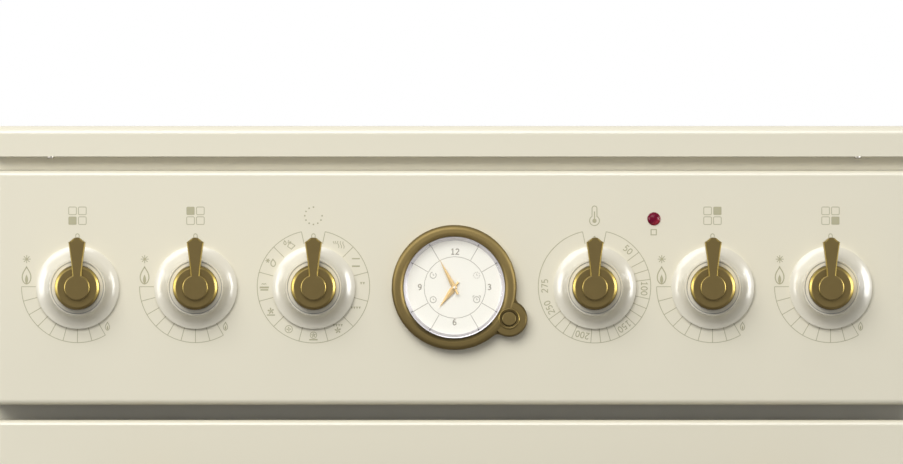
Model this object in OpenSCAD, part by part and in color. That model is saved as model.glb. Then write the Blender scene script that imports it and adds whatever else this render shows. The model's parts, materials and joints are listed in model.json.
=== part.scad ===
// Freestanding 60 cm range cooker: four gas burners with cast iron pan supports over an electric
// fan oven, a storage drawer below, and an enamelled control fascia with lever knobs and a clock.
// Millimetres, +Z up. The origin is on the floor, in the middle of the overall width and depth.
// The user stands at -Y and looks along +Y.

/* [Cooker] */
// Overall width
cooker_w = 600; // [580:5:640]
// Height from the floor to the hob's rim
cooker_h = 900; // [885:5:920]
// Height from the floor to the carcass's base
base_h = 92; // [86:1:104]
// Depth of the carcass behind the oven door
carcass_d = 542; // [530:2:600]
// Service gap that the hob bridges between the carcass and the wall
wall_gap = 18; // [16:1:24]
// Thickness of the enamelled and plated sheet
sheet = 1.2; // [1:0.1:1.5]
// Side clearance of the fascia, door and drawer front to the overall width
front_inset = 1; // [0.5:0.5:2]

/* [Hob] */
// Height of the hob's front rail
rail_h = 20; // [18:1:24]
// Radius of the hob's rounded rim
rim_r = 5.6; // [4:0.2:7]
// Width of the flat rim around the well
rim_w = 24; // [24:1:28]
// Width of the vented strip behind the well
vent_w = 76; // [66:2:90]
// Depth of the well below the rim
well_depth = 46; // [44:1:50]
// Corner radius of the well
well_r = 22; // [16:2:30]
// Thickness of the hob's pressed sheet
hob_t = 1.5; // [1.2:0.1:1.8]
// Distance between the left and right burners
burner_pitch_x = 274; // [264:2:284]
// Distance between the front and rear burners
burner_pitch_y = 236; // [224:2:244]
// Width of a pan support's fingers
finger_w = 6; // [5:0.5:7]
// Height of the pan supports' cast bars
bar_h = 11; // [9:0.5:13]

/* [Control fascia] */
// Height of the shadow gap between the hob's rail and the fascia
shadow_gap = 9; // [7:0.5:12]
// Depth of that gap behind the front face
shadow_d = 12.5; // [10:0.5:14]
// Height of the fascia
fascia_h = 153; // [146:1:160]
// Depth of the fascia's folded edge
fascia_d = 19; // [17:1:20]
// Radius of the front edges of the fascia, door and drawer
front_r = 3.4; // [2.6:0.2:4.4]
// Distance between neighbouring knobs
knob_pitch = 77; // [72:1:80]
// Distance from the clock to the knobs beside it
clock_pitch = 91.7; // [88:0.1:96]

/* [Knobs] */
// Radius of the fixed rosette round each knob
rosette_r = 27; // [25:0.5:29]
// Height of the rosette
rosette_h = 12.5; // [11:0.5:13]
// Radius of the knob's hub
hub_r = 14.5; // [13.5:0.25:15]
// Height of the hub's face above the fascia
hub_h = 22.5; // [21:0.5:24]
// Radius of the raised boss on the hub
boss_r = 8.3; // [7.5:0.1:9]
// Height of the boss and lever above the hub's face
boss_h = 4; // [3:0.5:5]
// Reach of the lever's tip from the knob's axis
lever_r = 31.8; // [30:0.2:33]
// Width of the lever's flat face at its shoulders
lever_w = 9.6; // [8:0.1:11]
// Width of the lever's flat face where it leaves the boss
lever_neck = 4.6; // [4:0.1:5]
// How far a gas knob is pushed in
knob_push = 3; // [2:0.5:3]
// Radius of the control spindles
spindle_r = 3; // [2.5:0.25:3.5]

/* [Clock] */
// Outer radius of the clock's bezel
bezel_r = 40.8; // [39:0.2:42]
// Radius of the opening in the bezel
dial_r = 33.1; // [31:0.1:34]
// Height of the bezel above the fascia
bezel_h = 9; // [8:0.5:11]
// Radius of the lobe that carries the setting knob
lobe_r = 12; // [11:0.5:13]
// Radius of the setting knob
setter_r = 4.7; // [4:0.1:5.2]
// Length of the minute hand
minute_len = 20.1; // [18:0.1:24]
// Length of the hour hand
hour_len = 15.6; // [13:0.1:17]

/* [Oven] */
// Thickness from the door's face to the front frame
door_t = 40; // [38:1:44]
// Reach of the door handle in front of the door
handle_reach = 45; // [40:1:52]
// Inner width of the oven cavity
oven_w = 440; // [420:5:450]
// Inner depth of the oven cavity
oven_d = 410; // [390:5:420]
// Thickness of the rock wool round the cavity
wool_t = 30; // [22:1:32]
// Number of shelf levels
shelf_levels = 4; // [3:1:4]
// Outer radius of the convection fan
fan_r = 74; // [66:1:80]
// Number of fan blades
fan_blades = 12; // [8:1:16]

/* [Drawer] */
// Gap between the fascia and the door
door_gap = 10; // [8:1:12]
// Gap between the door and the drawer, which the opening door sweeps
drawer_gap = 14; // [14:1:18]
// Height of the drawer front
drawer_h = 128; // [120:1:132]
// Length of the drawer box
drawer_l = 470; // [420:5:480]

/* [Hidden] */
$fn = 48;
// Smallest overlap that keeps a cut or a weld clean
eps = 0.5;
// Clearance between neighbouring pieces that only lie close
near = 0.3;
// Clearance of a shaft in its bearing
run = 0.1;

cream = [0.91, 0.88, 0.80];
pearl = [0.95, 0.93, 0.88];
antique_brass = [0.44, 0.38, 0.21];
gold = [0.75, 0.60, 0.33];
iron = [0.11, 0.11, 0.12];
black = [0.07, 0.07, 0.08];
zinc = [0.66, 0.67, 0.68];
alloy = [0.78, 0.78, 0.79];
chrome = [0.85, 0.86, 0.88];
liner_grey = [0.25, 0.26, 0.29];
wool = [0.88, 0.83, 0.62];
glass = [0.75, 0.82, 0.80, 0.4];

// Depth, from the handle at the front to the wall at the back
overall_d = handle_reach + door_t + carcass_d + wall_gap;
y_wall = overall_d / 2;
y_back = y_wall - wall_gap;
y_frame = y_back - carcass_d;
y_face = y_frame - door_t;
front_w = cooker_w - 2 * front_inset;
inner_x = cooker_w / 2 - sheet;

// Heights, from the rim down to the floor
z_rail = cooker_h - rail_h;
z_fascia_top = z_rail - shadow_gap;
z_fascia = z_fascia_top - fascia_h;
z_knob = z_fascia + fascia_h / 2;
z_door_top = z_fascia - door_gap;
base_drop = 6;
z_base = base_h;
z_drawer = z_base + base_drop;
z_drawer_top = z_drawer + drawer_h;
z_door = z_drawer_top + drawer_gap;
door_h = z_door_top - z_door;

// The hob and its burners: [x sign, y sign, crown radius, number of flame ports]
hob_d = y_wall - y_face;
well_w = cooker_w - 2 * rim_w;
well_d = hob_d - rim_w - vent_w;
well_y = y_face + rim_w + well_d / 2;
z_well = cooker_h - well_depth;
BURNERS = [[-1, -1, 50, 32], [-1, 1, 38, 26], [1, 1, 38, 26], [1, -1, 28, 20]];
flange_h = 2.5;
crown_h = 13.5;
cap_h = 6;
cup_drop = 40;
support_gap = 1;
z_support = cooker_h - support_gap;
support_split = 3;
support_margin = 4;
spark_offset = 9;

// The controls, left to right: front left, rear left, function, thermostat, rear right, front right
KNOB_X = [-clock_pitch - 2 * knob_pitch, -clock_pitch - knob_pitch, -clock_pitch,
    clock_pitch, clock_pitch + knob_pitch, clock_pitch + 2 * knob_pitch];
KNOB_BURNER = [0, 1, -1, -1, 2, 3];
GAS = [0, 1, 4, 5];
bracket_t = 1.5;
y_bracket = y_face + fascia_d;
y_mech = y_bracket + bracket_t;
spindle_hole = spindle_r + 2;
tap_l = 36;
tap_r = 12;
plug_l = 22;
plug_r1 = 8;
plug_r2 = 6.5;
manifold_s = 16;
y_manifold = y_mech + tap_l;
lamp_x = 130.3;
lamp_dz = 44.8;
lamp_r = 4.3;
lobe_x = 35.8;
lobe_z = -20.3;
lobe_fillet = 4;
recess_d = 3.6;
setter_gap = 0.4;
sleeve_r = 2;
setter_push = 1.5;
stem_r = 1.2;
movement_r = 31;
movement_l = 30;
glass_t = 2;

// The oven
frame_t = 1.5;
y_oven = y_frame + frame_t;
y_oven_back = y_oven + oven_d;
oven_lift = 54;
oven_drop = 64;
z_oven = z_door + oven_lift;
oven_h = door_h - oven_lift - oven_drop;
oven_r = 12;
y_wool_back = y_oven_back + sheet + near + wool_t;
fan_space = 42;
y_fan_cover = y_oven_back - fan_space;
z_fan = z_oven + oven_h / 2 - 10;
cover_w = 320;
cover_h = oven_h - 60;
element_r = 3.3;
grill_drop = 18;
wire_r = 2.5;
runner_x = oven_w / 2 - 8;
upright_x = oven_w / 2 - 3.8;
shelf_z0 = 52;
shelf_z1 = 100;
shelf_step = (oven_h - shelf_z0 - shelf_z1) / (shelf_levels - 1);
shelf_d = oven_d - fan_space - 20;
shelf_r = 3;
shelf_x = runner_x - 2;
shelf_rise = sqrt(pow(shelf_r + wire_r + near, 2) - pow(runner_x - shelf_x, 2));
lamp_glass_r = 20;
shaft_r = 4;

// The door and its hinges
hinge_up = 14;
hinge_back = 20;
y_hinge = y_frame - hinge_back;
z_hinge = z_door + hinge_up;
hinge_x = cooker_w / 2 - 26;
hinge_arm_t = 5;
hinge_pin_r = 3;
hinge_ear_t = 3;
seal_t = 5;
pane_t = 4;
door_skin = 1.5;
window_w = 400;
window_lift = 110;
window_drop = 118;
window_h = door_h - window_lift - window_drop;
window_arch = 900;
moulding_w = 9;
moulding_h = 3;
handle_l = 470;
post_pitch = 400;
bar_r = 8;
knop_r = 10;

// The drawer and the floor
drawer_w = cooker_w - 80;
drawer_stop = 3;
drawer_handle_l = 200;
drawer_posts = 150;
drawer_front_d = door_t - drawer_stop;
drawer_box_h = drawer_h - 42;
rail_rise = 10;
z_box = z_base + frame_t + rail_rise + near;
foot_inset = 52;
plinth_back = 22;
plinth_lift = 14;
terminal_d = wall_gap - 2;

// ---------------------------------------------------------------- shared shapes

// A rectangle about the origin with true round corners
module rounded_rect(w, h, r) {
    square([w - 2 * r, h], center = true);
    square([w, h - 2 * r], center = true);
    for (sx = [-1, 1], sy = [-1, 1])
        translate([sx * (w / 2 - r), sy * (h / 2 - r)])
            circle(r);
}

// A rectangle of depth d along x and length l along y, round at the two corners on x = 0
module fronted_rect(l, d, r) {
    translate([r, 0])
        square([d - r, l]);
    translate([0, r])
        square([r + eps, l - 2 * r]);
    for (y = [r, l - r])
        translate([r, y])
            circle(r);
}

// A slab on z = 0 with its front at y = 0, whose four front edges are round
module front_slab(w, d, h, r) {
    intersection() {
        translate([-w / 2, 0, 0])
            rotate([90, 0, 90])
                linear_extrude(w)
                    fronted_rect(h, d, r);
        translate([w / 2, 0, 0])
            rotate([0, 0, 90])
                linear_extrude(h)
                    fronted_rect(w, d, r);
    }
}

// A pressed tray, open at the back, with round front edges
module front_tray(w, d, h, r, t) {
    difference() {
        front_slab(w, d, h, r);
        translate([0, t, t])
            front_slab(w - 2 * t, d, h - 2 * t, r - t);
    }
}

// Puts a shape that is drawn with its axis along +Z onto the front at x, z, facing the user
module facing(x, z, y = y_face) {
    translate([x, y, z])
        rotate([90, 0, 0])
            children();
}

function unit(v) = v / norm(v);

// A round tube or rod along a path of right-angled corners, bent to radius bend
module bent_rod(path, r, bend) {
    last = len(path) - 1;
    for (i = [0 : last - 1]) {
        d = unit(path[i + 1] - path[i]);
        from = path[i] + (i == 0 ? 0 : bend) * d;
        to = path[i + 1] - (i == last - 1 ? 0 : bend) * d;
        side = abs(d.z) > 0.5 ? [1, 0, 0] : [0, 0, 1];
        up = cross(d, side);
        multmatrix([[side.x, up.x, d.x, from.x], [side.y, up.y, d.y, from.y], [side.z, up.z, d.z, from.z]])
            cylinder(h = norm(to - from), r = r);
    }
    for (i = [1 : 1 : last - 1]) {
        a = unit(path[i] - path[i - 1]);
        b = unit(path[i + 1] - path[i]);
        c = path[i] + (b - a) * bend;
        n = cross(a, b);
        multmatrix([[-b.x, a.x, n.x, c.x], [-b.y, a.y, n.y, c.y], [-b.z, a.z, n.z, c.z]])
            rotate_extrude(angle = 90)
                translate([bend, 0])
                    circle(r);
    }
}

// A row of n round-ended slots along x, pitch p apart, for cutting through z
module slot_row(n, p, l, w, h) {
    for (i = [0 : n - 1])
        translate([(i - (n - 1) / 2) * p, 0, 0])
            linear_extrude(h)
                rounded_rect(l, w, w / 2 - 0.01);
}

// A rod with one flat, as a spindle's end or the bore that takes it
module flatted_rod(r, l) {
    difference() {
        cylinder(h = l, r = r);
        translate([-r, 0.65 * r, -eps])
            cube([2 * r, r, l + 2 * eps]);
    }
}

// ---------------------------------------------------------------- carcass

module side_panels() {
    color(cream)
        for (s = [-1, 1])
            scale_x(s) {
                // The web, which steps forward beside the fascia
                translate([inner_x, 0, 0])
                    rotate([90, 0, 90])
                        linear_extrude(sheet)
                            polygon([[y_frame, z_base], [y_back, z_base], [y_back, z_rail - near],
                                [y_bracket, z_rail - near], [y_bracket, z_fascia], [y_frame, z_fascia]]);
                // The flange that the back panel is screwed to
                translate([inner_x - 16, y_back - sheet, z_base])
                    cube([16 + eps, sheet, z_rail - near - z_base]);
            }
}

// Mirrors its children to the left for s = -1
module scale_x(s) {
    if (s < 0)
        mirror([1, 0, 0])
            children();
    else
        children();
}

gas_x = inner_x - 40;
gas_z = z_rail - 70;
inlet_r = 10.5;
inlet_hex = 6;
supply_r = 9.5;
terminal_w = 90;
terminal_h = 64;
ear_w = 11;
ear_t = 1.4;
cable_r = 5;
terminal_x = -inner_x + 108;
terminal_z = z_base + 70;
back_rows = 7;
back_row_pitch = 16;

module back_panel() {
    h = z_rail - near - z_base - frame_t;
    color(zinc)
        difference() {
            translate([-inner_x, y_back - 2 * sheet, z_base + frame_t])
                cube([2 * inner_x, sheet, h]);
            // Cooling slots above the oven and beside the motor
            for (i = [0 : back_rows - 1], bank = [-1, 1])
                translate([bank * 120, y_back - sheet + eps, z_rail - 60 - i * back_row_pitch])
                    rotate([90, 0, 0])
                        slot_row(3, 52, 44, 5, sheet + 2 * eps);
            for (i = [0 : back_rows - 1])
                translate([0, y_back - sheet + eps, z_oven + 60 + i * back_row_pitch])
                    rotate([90, 0, 0])
                        slot_row(4, 52, 44, 5, sheet + 2 * eps);
            // The gas pipe's way out, and the mains cable's behind its terminal box
            translate([gas_x, y_back + eps, gas_z])
                rotate([90, 0, 0])
                    cylinder(h = 4 * sheet, r = supply_r + near);
            translate([terminal_x, y_back + eps, terminal_z + terminal_h / 2])
                rotate([90, 0, 0])
                    cylinder(h = 4 * sheet, r = 14);
        }
}

module base_pan() {
    flange = 14;
    front = y_frame + frame_t;
    depth = y_back - 2 * sheet - front;
    color(zinc) {
        translate([-inner_x, front, z_base])
            cube([2 * inner_x, depth, frame_t]);
        for (s = [-1, 1])
            scale_x(s)
                translate([inner_x - frame_t, front, z_base])
                    cube([frame_t, depth, flange]);
    }
}

mouth_z = z_oven + oven_h / 2;
drawer_slot_w = drawer_w + 16;
drawer_slot_top = z_drawer_top - 12;

module front_frame() {
    color(cream)
        difference() {
            union() {
                translate([-inner_x, y_frame, z_base])
                    cube([2 * inner_x, frame_t, z_fascia - z_base]);
                // The returns along the side panels
                for (s = [-1, 1])
                    scale_x(s)
                        translate([inner_x - frame_t, y_frame + frame_t / 2, z_base + 20])
                            cube([frame_t, 24, z_fascia - z_base - 20]);
                // The top return, which is the floor of the control box
                translate([-inner_x, y_frame, z_fascia - frame_t])
                    cube([2 * inner_x, 60, frame_t]);
                for (s = [-1, 1])
                    scale_x(s)
                        hinge_arm();
            }
            translate([0, y_frame + frame_t + eps, mouth_z])
                rotate([90, 0, 0])
                    linear_extrude(frame_t + 2 * eps)
                        rounded_rect(oven_w, oven_h, oven_r);
            translate([-drawer_slot_w / 2, y_frame - eps, z_base + frame_t + 2])
                cube([drawer_slot_w, frame_t + 2 * eps, drawer_slot_top - z_base - frame_t - 2]);
        }
}

// The arm that carries the door's hinge pin in front of the frame
module hinge_arm() {
    pin_l = hinge_arm_t + 2 * (near + hinge_ear_t) + 2;
    translate([hinge_x - hinge_arm_t / 2, 0, 0])
        rotate([90, 0, 90])
            linear_extrude(hinge_arm_t) {
                translate([y_hinge, z_hinge])
                    circle(5);
                translate([y_hinge, z_hinge - 4])
                    square([hinge_back + frame_t / 2, 8]);
            }
    translate([hinge_x - pin_l / 2, y_hinge, z_hinge])
        rotate([0, 90, 0])
            cylinder(h = pin_l, r = hinge_pin_r);
}

module plinth() {
    color(cream)
        difference() {
            translate([-inner_x, y_frame + plinth_back, plinth_lift])
                cube([2 * inner_x, plinth_back, z_base - plinth_lift]);
            translate([-inner_x - eps, y_frame + plinth_back + sheet, plinth_lift - eps])
                cube([2 * inner_x + 2 * eps, plinth_back, z_base - plinth_lift - sheet + eps]);
        }
}

foot_x = cooker_w / 2 - foot_inset;

module feet() {
    pad_r = 22;
    pad_h = 8;
    stem_r = 7;
    nut_r = 13;
    color(black)
        for (x = [-foot_x, foot_x], y = [y_frame + plinth_back * 2 + pad_r + 4, y_back - foot_inset])
            translate([x, y, 0]) {
                cylinder(h = pad_h, r = pad_r);
                translate([0, 0, pad_h - eps])
                    cylinder(h = pad_h, r1 = pad_r - 2, r2 = stem_r + 3);
                cylinder(h = z_base, r = stem_r);
                translate([0, 0, z_base - 8])
                    cylinder(h = 8, r = nut_r, $fn = 6);
            }
}

rail_screw_x = 263.5;

module screws() {
    head_r = 4;
    // Under the front rail, where they hold the hob to the fascia's top edge
    color(zinc) {
        for (s = [-1, 1])
            translate([s * rail_screw_x, y_face + shadow_d / 2, z_rail - 1.6])
                cylinder(h = 1.6, r = 2.2);
        // On the back panel's flanges
        for (s = [-1, 1], z = [z_base + 40, (z_base + z_rail) / 2, z_rail - 40])
            translate([s * (inner_x - 8), y_back + 2.4, z])
                rotate([90, 0, 0])
                    cylinder(h = 2.4, r = head_r);
        // On the terminal box
        for (s = [-1, 1])
            translate([terminal_x + s * (terminal_w / 2 + ear_w / 2), y_back - sheet + ear_t + 2, terminal_z + terminal_h / 2])
                rotate([90, 0, 0])
                    cylinder(h = 2, r = head_r);
    }
}

module terminal_box() {
    wall = 2;
    gland_l = 10;
    y0 = y_back - sheet;
    color(black)
        difference() {
            union() {
                translate([terminal_x - terminal_w / 2, y0, terminal_z])
                    cube([terminal_w, terminal_d, terminal_h]);
                translate([terminal_x - terminal_w / 2 - ear_w, y0, terminal_z + terminal_h / 2 - 9])
                    cube([terminal_w + 2 * ear_w, ear_t, 18]);
                translate([terminal_x, y0 + terminal_d / 2, terminal_z - gland_l])
                    cylinder(h = gland_l + eps, r = cable_r + 2.5);
            }
            translate([terminal_x - terminal_w / 2 + wall, y0 - eps, terminal_z + wall])
                cube([terminal_w - 2 * wall, terminal_d - wall + eps, terminal_h - 2 * wall]);
            translate([terminal_x, y0 + terminal_d / 2, terminal_z - gland_l - eps])
                cylinder(h = gland_l + wall + 2 * eps, r = cable_r);
        }
}

// ---------------------------------------------------------------- hob

module hob_top() {
    color(cream)
        difference() {
            union() {
                // The rim, hollow underneath
                difference() {
                    translate([0, y_face, cooker_h])
                        rotate([-90, 0, 0])
                            front_slab(cooker_w, rail_h, hob_d, rim_r);
                    translate([0, y_face + hob_t, cooker_h - hob_t])
                        rotate([-90, 0, 0])
                            front_slab(cooker_w - 2 * hob_t, rail_h, hob_d - 2 * hob_t, rim_r - hob_t);
                }
                // The rail's folded underside and the web at the back of the shadow gap
                translate([-cooker_w / 2 + hob_t / 2, y_face + hob_t / 2, z_rail])
                    cube([cooker_w - hob_t, shadow_d, hob_t]);
                translate([-inner_x, y_face + shadow_d, z_fascia_top + near])
                    cube([2 * inner_x, hob_t, shadow_gap]);
                // The well
                translate([0, well_y, z_well - hob_t])
                    linear_extrude(well_depth + hob_t - hob_t / 2)
                        rounded_rect(well_w + 2 * hob_t, well_d + 2 * hob_t, well_r + hob_t);
            }
            translate([0, well_y, z_well])
                linear_extrude(well_depth + eps)
                    rounded_rect(well_w, well_d, well_r);
            for (b = BURNERS)
                at_burner(b)
                    translate([0, 0, -hob_t - eps]) {
                        cylinder(h = hob_t + 2 * eps, r = cup_r(b) + near);
                        for (a = [45, 135])
                            rotate([0, 0, a * b.x])
                                translate([b[2] + spark_offset, 0, 0])
                                    cylinder(h = hob_t + 2 * eps, r = 2.5 + near);
                    }
            // The flue slots
            for (i = [0 : 2])
                translate([0, y_wall - vent_w / 2 + (i - 1) * 14, cooker_h - hob_t - eps])
                    slot_row(7, 56, 46, 6, hob_t + 2 * eps);
        }
}

function cup_r(b) = b[2] - 8;

// Puts its children on the well's floor at a burner's axis
module at_burner(b) {
    translate([b.x * burner_pitch_x / 2, well_y + b.y * burner_pitch_y / 2, z_well])
        children();
}

inlet_boss_r = 7;

module burner_cups() {
    color(alloy)
        for (b = BURNERS)
            at_burner(b)
                difference() {
                    union() {
                        cylinder(h = flange_h, r = b[2] + 3);
                        translate([0, 0, -cup_drop])
                            cylinder(h = cup_drop + eps, r = cup_r(b));
                        translate([0, 0, -cup_drop - 8])
                            cylinder(h = 8 + eps, r = inlet_boss_r);
                    }
                    translate([0, 0, -cup_drop + 3])
                        cylinder(h = cup_drop + flange_h, r = cup_r(b) - 3);
                }
}

module flame_spreaders() {
    port_w = 2;
    port_h = 5;
    wall = 6;
    color(alloy)
        for (b = BURNERS)
            at_burner(b)
                translate([0, 0, flange_h])
                    difference() {
                        cylinder(h = crown_h, r = b[2]);
                        translate([0, 0, 3])
                            cylinder(h = crown_h, r = b[2] - wall);
                        translate([0, 0, -eps])
                            cylinder(h = crown_h, r = b[2] - 2.5 * wall);
                        for (i = [0 : b[3] - 1])
                            rotate([0, 0, (i + 0.5) * 360 / b[3]])
                                translate([b[2] - wall - 1, -port_w / 2, crown_h - port_h])
                                    cube([wall + 2, port_w, port_h + eps]);
                    }
}

module burner_caps() {
    edge = 2;
    color(iron)
        for (b = BURNERS)
            at_burner(b)
                translate([0, 0, flange_h + crown_h])
                    rotate_extrude() {
                        square([b[2], cap_h]);
                        square([b[2] + edge, cap_h - edge]);
                        translate([b[2], cap_h - edge])
                            circle(edge);
                    }
}

module igniters() {
    for (b = BURNERS)
        at_burner(b) {
            // The ceramic spark plug with its steel tip
            rotate([0, 0, 45 * b.x])
                translate([b[2] + spark_offset, 0, -12]) {
                    color([0.93, 0.92, 0.88])
                        cylinder(h = 24, r = 2.5);
                    color(zinc)
                        translate([0, 0, 24])
                            cylinder(h = 5, r = 0.9);
                }
            // The thermocouple
            rotate([0, 0, 135 * b.x])
                translate([b[2] + spark_offset, 0, -14])
                    color(zinc) {
                        cylinder(h = 20, r = 2.5);
                        cylinder(h = 32, r = 1.7);
                    }
        }
}

support_w = well_w / 2 - support_split / 2 - support_margin;
support_l = well_d - 2 * support_margin;
support_x = support_split / 2 + support_w / 2;
frame_bar = 8;
finger_drop = 3.5;

// One cast iron pan support, standing on six legs over two burners
module pan_support(s) {
    bar_z = z_support - bar_h;
    leg_z = z_well + near;
    mid_x = burner_pitch_x / 2;
    half_y = burner_pitch_y / 2;
    color(iron)
        scale_x(s) {
            // The frame and its cross bar
            translate([support_x, well_y, bar_z])
                linear_extrude(bar_h - finger_drop) {
                    difference() {
                        rounded_rect(support_w, support_l, 14);
                        rounded_rect(support_w - 2 * frame_bar, support_l - 2 * frame_bar, 8);
                    }
                    square([support_w - frame_bar, frame_bar], center = true);
                }
            // The fingers that carry the pans
            for (j = [-1, 1])
                translate([mid_x, well_y + j * half_y, bar_z])
                    linear_extrude(bar_h)
                        support_fingers(mid_x, j);
            for (x = [-1, 1], y = [-1, 0, 1])
                translate([support_x + x * (support_w - frame_bar) / 2, well_y + y * (support_l / 2 - 22), leg_z])
                    cylinder(h = bar_z - leg_z + eps, r1 = 5, r2 = 3.8);
        }
}

// The fingers round one burner: four straight ones and four from the corners
module support_fingers(mid_x, j) {
    tip = 24;
    diagonal_back = 14;
    half_y = burner_pitch_y / 2;
    left = mid_x - (support_x - support_w / 2) - frame_bar / 2;
    right = support_x + support_w / 2 - frame_bar / 2 - mid_x;
    outer = support_l / 2 - half_y - frame_bar / 2;
    finger(0, tip, right);
    finger(180, tip, left);
    finger(90 * j, tip, outer);
    finger(-90 * j, tip, half_y);
    for (side = [0, 1], end = [-1, 1]) {
        across = side == 0 ? right : left;
        along = end > 0 ? outer : half_y;
        finger(end * j * (45 + 90 * side), tip + diagonal_back, min(across, along) / cos(45) - 2);
    }
}

module finger(a, from, to) {
    rotate([0, 0, a]) {
        translate([from, -finger_w / 2])
            square([to - from, finger_w]);
        translate([from, 0])
            circle(finger_w / 2);
    }
}

module pan_support_left() {
    pan_support(-1);
}

module pan_support_right() {
    pan_support(1);
}

// ---------------------------------------------------------------- gas train

tap_y = y_mech + 14;
pipe_r = 4;
pipe_bend = 12;

module gas_manifold() {
    reach = KNOB_X[5] + 26;
    color(zinc) {
        translate([-reach, y_manifold, z_knob - manifold_s / 2])
            cube([reach + gas_x, manifold_s, manifold_s]);
        // The supply pipe to the threaded inlet at the back
        bent_rod([[gas_x, y_manifold + manifold_s / 2, z_knob], [gas_x, y_manifold + 60, z_knob],
            [gas_x, y_manifold + 60, gas_z], [gas_x, y_back - 12, gas_z]], 6, 7.5);
        translate([gas_x, y_back - sheet, gas_z])
            rotate([-90, 0, 0]) {
                // The stub through the back panel, the hexagon against it, and the thread
                translate([0, 0, -14])
                    cylinder(h = 14 + eps, r = supply_r);
                cylinder(h = inlet_hex, r = inlet_r + 6, $fn = 6);
                cylinder(h = wall_gap + sheet, r = inlet_r);
            }
        // The brackets at its ends
        for (s = [-1, 1])
            scale_x(s)
                translate([inner_x - sheet - 60, y_manifold + 2, z_knob - manifold_s / 2 - 2])
                    cube([60, manifold_s - 4, 3]);
    }
}

module gas_pipes() {
    color(alloy)
        for (k = GAS) {
            b = BURNERS[KNOB_BURNER[k]];
            level = z_knob - (b.y > 0 ? 46 : 30);
            bx = b.x * burner_pitch_x / 2;
            by = well_y + b.y * burner_pitch_y / 2;
            bent_rod([[KNOB_X[k], tap_y, z_knob - tap_r - 4], [KNOB_X[k], tap_y, level],
                [KNOB_X[k], by, level], [bx, by, level], [bx, by, z_well - cup_drop - 8]],
                pipe_r, pipe_bend);
        }
}

module gas_taps() {
    color(gold)
        for (k = GAS)
            facing(KNOB_X[k], z_knob, y_mech)
                difference() {
                    union() {
                        // The flange behind the bracket, the barrel and the saddle on the manifold
                        translate([0, 0, -3])
                            linear_extrude(3)
                                rounded_rect(34, 28, 6);
                        translate([0, 0, -tap_l + 6])
                            cylinder(h = tap_l - 6 - eps, r = tap_r);
                        translate([-tap_r, -tap_r + 2, -tap_l])
                            cube([2 * tap_r, 2 * tap_r - 4, 12]);
                        translate([0, -tap_r - 4, -14])
                            rotate([-90, 0, 0])
                                cylinder(h = 10, r = pipe_r + 2.5);
                    }
                    // The seat of the plug
                    translate([0, 0, -plug_l - near])
                        cylinder(h = plug_l - 3 + 2 * near, r1 = plug_r2 + run, r2 = plug_r1 + run);
                    translate([0, 0, -4])
                        cylinder(h = 5, r = spindle_r + 1);
                    translate([0, 0, -tap_l + 5])
                        cylinder(h = tap_l, r = spindle_r + 0.6);
                }
}

module tap_plug(k) {
    color(alloy)
        facing(KNOB_X[k], z_knob, y_mech)
            translate([0, 0, -plug_l])
                difference() {
                    cylinder(h = plug_l - 3, r1 = plug_r2, r2 = plug_r1);
                    translate([0, 0, -eps])
                        flatted_rod(spindle_r + run, plug_l + 2 * eps);
                    // The gas way through the plug
                    translate([0, 0, 8])
                        rotate([-90, 0, 0])
                            translate([0, 0, spindle_r])
                                cylinder(h = plug_r1, r = 2);
                }
}

module tap_plug_front_left() {
    tap_plug(0);
}

module tap_plug_rear_left() {
    tap_plug(1);
}

module tap_plug_rear_right() {
    tap_plug(4);
}

module tap_plug_front_right() {
    tap_plug(5);
}

// The body of the function switch and of the thermostat behind the bracket
module oven_controls() {
    body_l = 26;
    for (k = [2, 3])
        facing(KNOB_X[k], z_knob, y_mech)
            difference() {
                union() {
                    color(zinc)
                        translate([0, 0, -2])
                            linear_extrude(2)
                                rounded_rect(46, 30, 4);
                    color(black)
                        translate([0, 0, -body_l])
                            if (k == 2)
                                linear_extrude(body_l - 2 + eps)
                                    rounded_rect(36, 36, 5);
                            else
                                cylinder(h = body_l - 2 + eps, r = 17);
                    color(gold)
                        for (x = [-12, -4, 4, 12], y = [-9, 9])
                            translate([x - 0.4, y - 3, -body_l - 8])
                                cube([0.8, 6, 8 + eps]);
                }
                translate([0, 0, -16])
                    cylinder(h = 20, r = spindle_r + run);
            }
}

// ---------------------------------------------------------------- fascia and knobs

clock_hole_r = movement_r + 1;

// What passes through the fascia and the bracket behind it
module control_holes(depth) {
    for (x = KNOB_X)
        facing(x, z_knob, y_face + depth + eps)
            cylinder(h = depth + 2 * eps, r = spindle_hole);
    facing(0, z_knob, y_face + depth + eps)
        cylinder(h = depth + 2 * eps, r = clock_hole_r);
    facing(lobe_x, z_knob + lobe_z, y_face + depth + eps)
        cylinder(h = depth + 2 * eps, r = sleeve_r + 1);
    facing(lamp_x, z_knob + lamp_dz, y_face + depth + eps)
        cylinder(h = depth + 2 * eps, r = lamp_r - 1);
}

module fascia() {
    color(cream)
        difference() {
            translate([0, y_face, z_fascia])
                front_tray(front_w, fascia_d, fascia_h, front_r, sheet);
            control_holes(sheet + eps);
        }
}

module control_bracket() {
    inset = sheet + near;
    strip_t = 1;
    color(zinc)
        difference() {
            union() {
                translate([-front_w / 2 + sheet, y_bracket, z_fascia])
                    cube([front_w - 2 * sheet, bracket_t, fascia_h]);
                for (s = [-1, 1])
                    scale_x(s)
                        translate([inner_x - sheet, y_bracket, z_fascia + 4])
                            cube([sheet, 60, fascia_h - 20]);
                for (z = [z_fascia + inset, z_fascia_top - inset - strip_t])
                    translate([-front_w / 2 + 30, y_face + front_r + near, z])
                        cube([front_w - 60, fascia_d - front_r, strip_t]);
            }
            control_holes(fascia_d + bracket_t);
        }
}

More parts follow.
